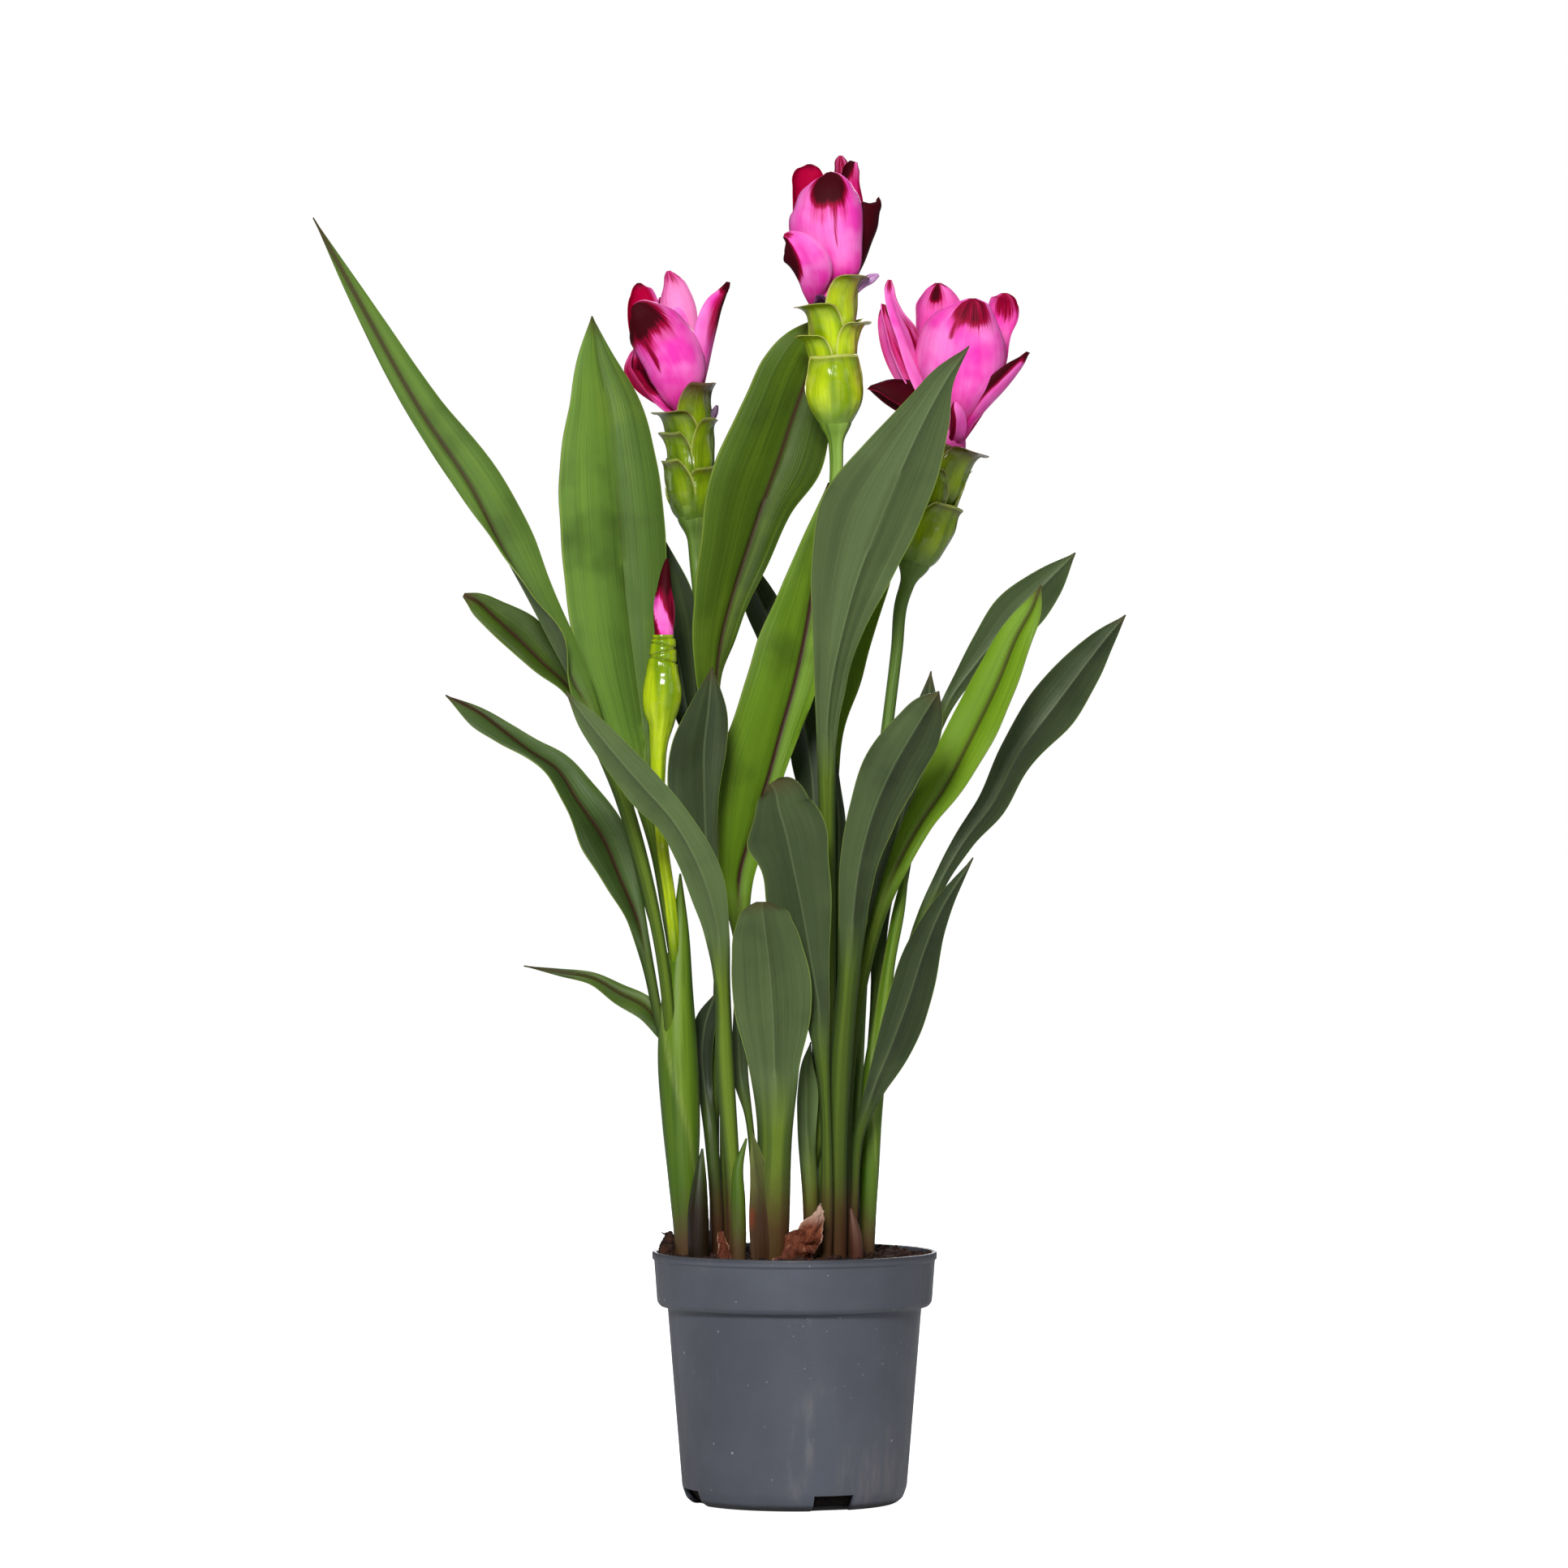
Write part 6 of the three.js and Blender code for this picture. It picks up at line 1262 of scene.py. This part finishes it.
bulb = stem_shell(numbers("""
    -59 -3 267 3, -62 -4 299 3, -66 -4 328 3, -68 -4 362 3.6, -67.5 -4 380 4.9, -66.5 -4 388 6.4,
    -66.5 -4 395 8.6, -66 -4 403 9.5, -66 -4 411 8.6, -66 -4 418 7, -65.5 -4 425 6.2,
    -65.5 -4 432 5.6
"""), bulb_values, along_row=16, sides=48, relief=bulb_relief)
dress(new_object("bud_bulb", [bulb]), GREEN_BRACT_SKIN, "green_bract", "bud_green")

# %% The rolled crown of the bud
def roll_relief(turn, height, radius):
    """The rolled bracts of the crown show as slanting edges."""
    climb = turn + height / 13
    return 0.16 * radius * (np.mod(climb, math.pi) / math.pi - 0.5) - 0.1 * radius


def crown_values(turn, height):
    """Dark but for a pink bract that winds from the left at its top to the right at its foot."""
    middle = 3.7 + 0.1 * (448 - height)
    pink = np.exp(-((np.sin((turn - middle) / 2) / 0.4) ** 4)) * (1 - soft_step(height, 447, 454))
    return {"dark": (0.6 + 0.5 * soft_step(height, 450, 462)) * (1 - pink), "along": 0.45}


crown = stem_shell(numbers("""
    -65 -4 431.5 5.1, -65 -4 443 5.6, -65 -4 453 4.6, -64.5 -4 461 3.2, -64 -4 466 2,
    -63.5 -4 470 0.8
"""), crown_values, along_row=10, sides=40, relief=roll_relief)
dress(new_object("bud_crown", [crown]), PINK_BRACT_SKIN, "pink_bract", "bud_pink")

# %% [markdown]
# ## The pot
# A nursery pot is moulded in one piece: a tapered body, a step, a deeper collar and a rolled lip.
# It is turned from a profile whose corners are rounded, because moulded plastic has no sharp
# edge, and then the notches at its foot and its drain holes are cut.

# %% Pot profile
# Radius, height, and how much of the corner is rounded, from the foot up and down inside
POT_PROFILE = numbers("""
    0 0 0, 50.5 0 1.5, 54 2.5 1.5, 56 8 2, 63.3 97 0.8, 67 98 0.5, 68.5 100 0.8, 70 120.5 0.4,
    71 121.5 0.4, 71 124.4 0.3, 70.3 125 0.3, 68.6 124.6 0.3, 67.1 100.4 1, 61.9 97.4 1,
    54.6 8.5 2, 50.5 2 2, 0 2 0
""")


def rounded(profile):
    """A finer profile with each corner but the ends replaced by a short curve."""
    out = [np.array(profile[0][:2])]
    for before, (r, z, size), after in zip(profile, profile[1:], profile[2:]):
        corner = np.array([r, z])
        ends = []
        for other in (before, after):
            way = np.array(other[:2]) - corner
            ends.append(corner + unit(way) * min(size, np.linalg.norm(way) / 2))
        for t in np.linspace(0, 1, 5):
            out.append(ends[0] * (1 - t) ** 2 + corner * 2 * t * (1 - t) + ends[1] * t * t)
    return [*out, np.array(profile[-1][:2])]


outline = rounded(POT_PROFILE)
print("pot profile:", len(outline), "points")

# %% Turn the pot
POT_SIDES = 160
rings = outline[1:-1]
points = [(r * math.cos(a) * MM, r * math.sin(a) * MM, z * MM) for r, z in rings for a in turns(POT_SIDES)]
points = [(0, 0, 0), *points, (0, 0, outline[-1][1] * MM)]
beside = [(n, (n + 1) % POT_SIDES) for n in range(POT_SIDES)]
lows = [1 + n * POT_SIDES for n in range(len(rings))]
faces = [(0, 1 + m, 1 + n) for n, m in beside]
faces += [
    (low + n, low + m, low + POT_SIDES + m, low + POT_SIDES + n) for low in lows[:-1] for n, m in beside
]
faces += [(lows[-1] + n, lows[-1] + m, len(points) - 1) for n, m in beside]
pot = link("pot_body", new_mesh("pot_body", points, faces))
print("pot turned:", len(faces), "faces")

# %% Cut the notches and drain holes
NOTCHES, NOTCH_TURN = 4, math.radians(20.6)
NOTCH_WIDTH, NOTCH_DEPTH, NOTCH_HEIGHT, NOTCH_RADIUS = 20.6, 14, 8, 53
HOLES, HOLE_RADIUS, HOLE_CIRCLE = 6, 4, 33
BLOCK_FACES = [(0, 1, 3, 2), (4, 6, 7, 5), (0, 4, 5, 1), (2, 3, 7, 6), (0, 2, 6, 4), (1, 5, 7, 3)]


def keep_result(target, smooth_degrees):
    """Turns what an object's modifiers make of it into a plain mesh of its own."""
    shown = target.evaluated_get(bpy.context.evaluated_depsgraph_get())
    result = bpy.data.meshes.new_from_object(shown)
    target.modifiers.clear()
    target.data = result
    result.shade_smooth()
    result.set_sharp_from_angle(angle=math.radians(smooth_degrees))


def cut(target, cutter):
    """Takes one shape out of another."""
    modifier = target.modifiers.new("cut", "BOOLEAN")
    modifier.operation = "DIFFERENCE"
    modifier.solver = "EXACT"
    modifier.object = cutter
    keep_result(target, 35)
    bpy.data.objects.remove(cutter)


def block(turned):
    """A box across the pot's wall at that turn, from below its foot to the top of a notch."""
    c, s = math.cos(turned), math.sin(turned)
    corners = [
        (x * NOTCH_WIDTH / 2, -NOTCH_RADIUS + y * NOTCH_DEPTH / 2, z)
        for x in (-1, 1) for y in (-1, 1) for z in (-2, NOTCH_HEIGHT)
    ]
    moved = [((x * c - y * s) * MM, (x * s + y * c) * MM, z * MM) for x, y, z in corners]
    return link("notch", new_mesh("notch", moved, BLOCK_FACES))


for n in range(NOTCHES):
    cut(pot, block(NOTCH_TURN + n * 2 * math.pi / NOTCHES))
for n in range(HOLES):
    around = 2 * math.pi * (n + 0.5) / HOLES
    place = (HOLE_CIRCLE * MM * math.cos(around), HOLE_CIRCLE * MM * math.sin(around), 3 * MM)
    bpy.ops.mesh.primitive_cylinder_add(
        vertices=24, radius=HOLE_RADIUS * MM, depth=12 * MM, location=place)
    cut(pot, bpy.context.object)
print("pot cut:", len(pot.data.polygons), "faces")

# %% [markdown]
# ## The plastic
# The plastic is blue-grey and satin. What keeps it from looking new are pale scuffs, a few white
# specks of lime, and a faint change of tone where the mould filled last.

# %% Pot finish
def pot_finish():
    skin = Finish("pot_plastic", 0.5, 0.45)
    place, height = skin.place(), skin.height()
    grain, patches, chosen = skin.cloud(900.0, 2.0), skin.cloud(14.0, 4.0), skin.cloud(31.0, 2.0)
    scuffs = skin.cloud(1.0, 6.0, 0.7, skin.stretched(place, 60.0, 60.0, 9.0))
    specks = skin.node("ShaderNodeTexVoronoi", {"Vector": place, "Scale": 85.0})
    fine_specks = skin.node("ShaderNodeTexVoronoi", {"Vector": place, "Scale": 170.0})
    skin.colour = mix(patches.fade(0.3, 0.7), rgb(75, 78, 88), rgb(86, 90, 101))
    skin.coat(scuffs.fade(0.6, 0.78, 0.0, 0.35), rgb(128, 132, 144))
    skin.coat(scuffs.fade(0.38, 0.22, 0.0, 0.35), rgb(58, 60, 70))
    dots = specks.fade(0.08, 0.03) * chosen.fade(0.5, 0.56)
    fine_dots = fine_specks.fade(0.09, 0.03) * chosen.fade(0.52, 0.46)
    skin.coat(skin.maths("MAXIMUM", dots, fine_dots * 0.6) * 0.7, rgb(176, 178, 184))
    skin.coat(scuffs.fade(0.5, 0.68) * patches.fade(0.52, 0.62) * 0.3, rgb(136, 126, 120))
    # Painted shadow at the foot, where the pot stands, and the top of the lip darker
    skin.coat(height.fade(0.0042, 0.0012, 0.0, 0.85), rgb(26, 20, 19))
    skin.coat(height.fade(0.1222, 0.1238, 0.0, 0.45), rgb(38, 38, 42))
    return skin.done(grain + scuffs, 0.00012, scuffs.fade(0.3, 0.75, 0.42, 0.62))


dress(pot, pot_finish(), "pot", "pot")

# %% [markdown]
# ## The soil
# Peat is a rough surface with loose crumbs on it. The surface is a fine disc moved by noise, with
# a heap at the left rim, and it stands on a plain body that fills the pot. Geometry Nodes then
# scatter the crumbs over it, each a rock-like lump that is turned and sized at random.

# %% Soil body
SOIL_LEVEL = 122.0
SOIL_SIDES = 180
SOIL_TOP_RADII = np.linspace(67.4, 1.0, 64)
# Radius and height of the plain sides that lie against the pot
SOIL_BODY = numbers("49 2.4, 53.8 9, 61.2 97, 66.4 101, 67.3 118")
HEAP_X, HEAP_HEIGHT, HEAP_SPREAD = -62.0, 11.0, 7.0
HIGHEST_AT_WALL = 125.5


def soil_height(x, y):
    """Gentle waves, one heap, and noise of two sizes."""
    waves = math.sin(x * 0.21 + 1.3) * math.cos(y * 0.24 - 0.6) + 0.6 * math.sin(x * 0.09 - y * 0.13 + 2.1)
    heap = HEAP_HEIGHT * math.exp(-((x - HEAP_X) ** 2 + y ** 2) / HEAP_SPREAD ** 2)
    lumps = noise.noise(Vector((x / 6, y / 6, 1.0)))
    grit = noise.noise(Vector((x / 2.2, y / 2.2, 7.0)))
    return SOIL_LEVEL + 1.2 * waves + heap + (1.3 * lumps + 0.9 * grit)


def soil_point(r, a):
    """A point of the surface. At the wall it stays under the lip, but for the heap."""
    x, y = r * math.cos(a), r * math.sin(a)
    z = soil_height(x, y)
    return (x, y, min(z, HIGHEST_AT_WALL) if r > 66 and z < 127 else z)


rings = [[(r * math.cos(a), r * math.sin(a), z) for a in turns(SOIL_SIDES)] for r, z in SOIL_BODY]
rings += [[soil_point(r, a) for a in turns(SOIL_SIDES)] for r in SOIL_TOP_RADII]
soil = new_object("soil_bed", [shell(np.array(rings), np.zeros((len(rings), SOIL_SIDES + 1, 2)), {})])
print("soil bed:", len(soil.data.polygons), "faces")

# %% Soil finish
def soil_finish():
    skin = Finish("peat", 0.95, 0.2)
    fine, lumps = skin.cloud(420.0, 5.0, 0.7), skin.cloud(90.0, 4.0, 0.6)
    skin.colour = mix(fine.fade(0.35, 0.65), rgb(26, 16, 13), rgb(70, 46, 36))
    skin.coat(lumps.fade(0.5, 0.7, 0.0, 0.6), rgb(92, 58, 42))
    skin.coat(lumps.fade(0.42, 0.3, 0.0, 0.7), rgb(20, 13, 11))
    # Painted shade: the sides and foot of the soil, seen through the notches and drain holes, go near black
    skin.coat(skin.height().fade(0.02, 0.1, 0.85, 0.0), rgb(9, 7, 7))
    return skin.done(fine + lumps, 0.002)


PEAT = soil_finish()

# %% A tree that scatters crumbs
FULL_TURN = 6.283
FACES_UP = 0.35


def random_value(net, given, kind, ends, output=0):
    """A number or vector between two ends, the same each time for the same seed."""
    return net.node("FunctionNodeRandomValue", {**ends, "Seed": given["Seed"]}, output, data_type=kind)


def scatter_tree(name, finish, shape, per_area, seed):
    """A tree that scatters one kind of crumb over the top of a surface."""
    net = Net(bpy.data.node_groups.new(name, "GeometryNodeTree"))
    face, sockets = net.tree.interface, {}
    face.new_socket("Geometry", in_out="INPUT", socket_type="NodeSocketGeometry")
    for label, kind, value in (
        ("Crumbs per square metre", "NodeSocketFloat", per_area),
        ("Smallest", "NodeSocketFloat", shape["smallest"]),
        ("Largest", "NodeSocketFloat", shape["largest"]),
        ("Roughness of shape", "NodeSocketFloat", shape["uneven"]),
        ("Seed", "NodeSocketInt", seed),
    ):
        sockets[label] = face.new_socket(label, in_out="INPUT", socket_type=kind)
        sockets[label].default_value = value
    face.new_socket("Geometry", in_out="OUTPUT", socket_type="NodeSocketGeometry")
    given = {out.name: Wire(net, out) for out in net.tree.nodes.new("NodeGroupInput").outputs}
    # Points on the faces that look up
    upward = net.node("ShaderNodeSeparateXYZ", {0: net.node("GeometryNodeInputNormal")}, output=2)
    on_top = net.node("FunctionNodeCompare", {0: upward, 1: FACES_UP}, operation="GREATER_THAN")
    points = net.node("GeometryNodeDistributePointsOnFaces", {
        "Mesh": given["Geometry"], "Selection": on_top, "Density": given["Crumbs per square metre"],
        "Seed": given["Seed"],
    })
    # A round lump that noise makes uneven
    here = net.node("GeometryNodeInputPosition")
    bumps = net.node("ShaderNodeTexNoise", {"Vector": here, "Scale": 1.1, "Detail": 2.0}, output=1)
    centred = net.node("ShaderNodeVectorMath", {0: bumps, 1: (0.5, 0.5, 0.5)}, operation="SUBTRACT")
    moved = net.node("ShaderNodeVectorMath", {
        0: centred, "Scale": given["Roughness of shape"]}, operation="SCALE")
    lump = net.node("GeometryNodeSetPosition", {
        "Geometry": net.node("GeometryNodeMeshIcoSphere", {"Radius": 1.0, "Subdivisions": 2}),
        "Offset": moved,
    })
    # Turned, stretched and sized at random
    turned = random_value(net, given, "FLOAT_VECTOR", {0: (0.0,) * 3, 1: (FULL_TURN,) * 3})
    stretch = random_value(net, given, "FLOAT_VECTOR", {0: shape["thin"], 1: shape["thick"]})
    sized = random_value(net, given, "FLOAT", {2: given["Smallest"], 3: given["Largest"]}, output=1)
    scale = net.node("ShaderNodeVectorMath", {0: stretch, "Scale": sized}, operation="SCALE")
    placed = net.node("GeometryNodeInstanceOnPoints", {
        "Points": points, "Instance": lump, "Rotation": turned, "Scale": scale,
    })
    real = net.node("GeometryNodeRealizeInstances", {"Geometry": placed})
    skinned = net.node("GeometryNodeSetMaterial", {"Geometry": real, "Material": finish})
    net.tree.links.new(skinned.socket, net.tree.nodes.new("NodeGroupOutput").inputs["Geometry"])
    print(name, "tree has", len(net.tree.nodes), "nodes")
    return net.tree, sockets


# %% Scatter the crumbs
def scatter(name, over, finish, shape, per_area, seed):
    """Runs a scatter tree over a surface and keeps the crumbs as a plain mesh."""
    tree, sockets = scatter_tree(name, finish, shape, per_area, seed)
    holder = link(name, over.data.copy())
    modifier = holder.modifiers.new("scatter", "NODES")
    modifier.node_group = tree
    modifier[sockets["Crumbs per square metre"].identifier] = float(per_area)
    modifier[sockets["Seed"].identifier] = seed
    keep_result(holder, 40)
    return holder


# Sizes in metres
CRUMB = {
    "smallest": 0.0006, "largest": 0.0022, "uneven": 0.9,
    "thin": (0.6, 0.6, 0.4), "thick": (1.3, 1.2, 1.0),
}
FIBRE = {
    "smallest": 0.0009, "largest": 0.0022, "uneven": 0.5,
    "thin": (0.2, 0.15, 1.2), "thick": (0.35, 0.3, 3.0),
}
crumbs = scatter("soil_crumbs", soil, PEAT, CRUMB, 90000, 4)
fibres = scatter("soil_fibres", soil, PEAT, FIBRE, 22000, 9)
dress(soil, PEAT, "soil", "soil")
dress(crumbs, None, "soil")
dress(fibres, None, "soil")

# %% [markdown]
# ## Camera, floor and light
# The photograph is taken level, from a good distance, with soft light from the front and left on
# a white ground. A long lens keeps the pot's sides nearly parallel. The floor is pale and wide,
# and the sky gives it the same white, so the plant alone carries the picture.

# %% Camera
# What one pixel of the picture spans at the pot's axis, in metres
PIXEL_SIZE = 0.0004046
PICTURE = 1932
SENSOR = 36.0
camera_data = bpy.data.cameras.new("camera")
camera_data.sensor_width = SENSOR
camera_data.lens = SENSOR * -EYE[1] * MM / (PICTURE * PIXEL_SIZE)
# The middle of the picture lies a little off the way the eye looks
camera_data.shift_x = -0.00033
camera_data.shift_y = 0.00345
camera_data.clip_end = 100.0
camera = link("camera", camera_data)
camera.location = EYE * MM
camera.rotation_euler = (math.pi / 2, 0, 0)
bpy.context.scene.camera = camera
print("camera lens:", round(camera_data.lens, 2), "mm")

# %% Floor
# The floor is shown this much brighter than it is lit, so that it is white as in the photograph
FLOOR_GLOW = 0.95
WHITE = (1, 1, 1, 1)
bpy.ops.mesh.primitive_plane_add(size=60, location=(0, 0, -0.0002))
floor = bpy.context.object
floor.name = "floor"
paint = Finish("floor_paint", 0.8, 0.2)
paint.tree.links.new(
    mix(paint.cloud(3.0), (0.6, 0.6, 0.6, 1), (0.64, 0.64, 0.64, 1)).socket, paint.surface["Base Color"])
paint.surface["Emission Color"].default_value = WHITE
glow = paint.node("ShaderNodeLightPath") * FLOOR_GLOW
paint.tree.links.new(glow.socket, paint.surface["Emission Strength"])
floor.data.materials.append(paint.made)
print("floor:", floor.dimensions.x, "m across")

# %% Lights
LIT_POINT = Vector((0, 0, 0.36))


def soft_light(name, place, size, power):
    """A round soft light that looks at the middle of the plant."""
    data = bpy.data.lights.new(name, "AREA")
    data.shape = "DISK"
    data.size = size
    data.energy = power
    made = link(name, data)
    made.location = place
    made.rotation_euler = (LIT_POINT - Vector(place)).to_track_quat("-Z", "Y").to_euler()
    print(name, "light:", power, "W")


soft_light("key", (-0.45, -2.95, 1.75), 0.9, 100)
soft_light("fill", (2.2, -1.7, 0.8), 1.2, 5)
soft_light("top", (0.2, 0.8, 2.3), 1.0, 8)
soft_light("back", (0.3, 2.9, 1.5), 1.4, 48)
soft_light("back left", (-2.7, 1.3, 0.9), 1.2, 4)
soft_light("back right", (2.7, 1.3, 0.9), 1.2, 3)

# %% Sky
# The sky lights the plant only a little, and shows white
SKY_LIGHT = 0.1
world = bpy.data.worlds.new("studio")
bpy.context.scene.world = world
world.use_nodes = True
sky = Net(world.node_tree)
both_skies = sky.node("ShaderNodeMixShader", {
    0: sky.node("ShaderNodeLightPath"),
    1: sky.node("ShaderNodeBackground", {"Color": WHITE, "Strength": SKY_LIGHT}),
    2: sky.node("ShaderNodeBackground", {"Color": WHITE, "Strength": 1.0}),
})
sky.tree.links.new(both_skies.socket, sky.tree.nodes["World Output"].inputs["Surface"])
bpy.context.scene.view_settings.view_transform = "Standard"
print("sky:", len(sky.tree.nodes), "nodes")
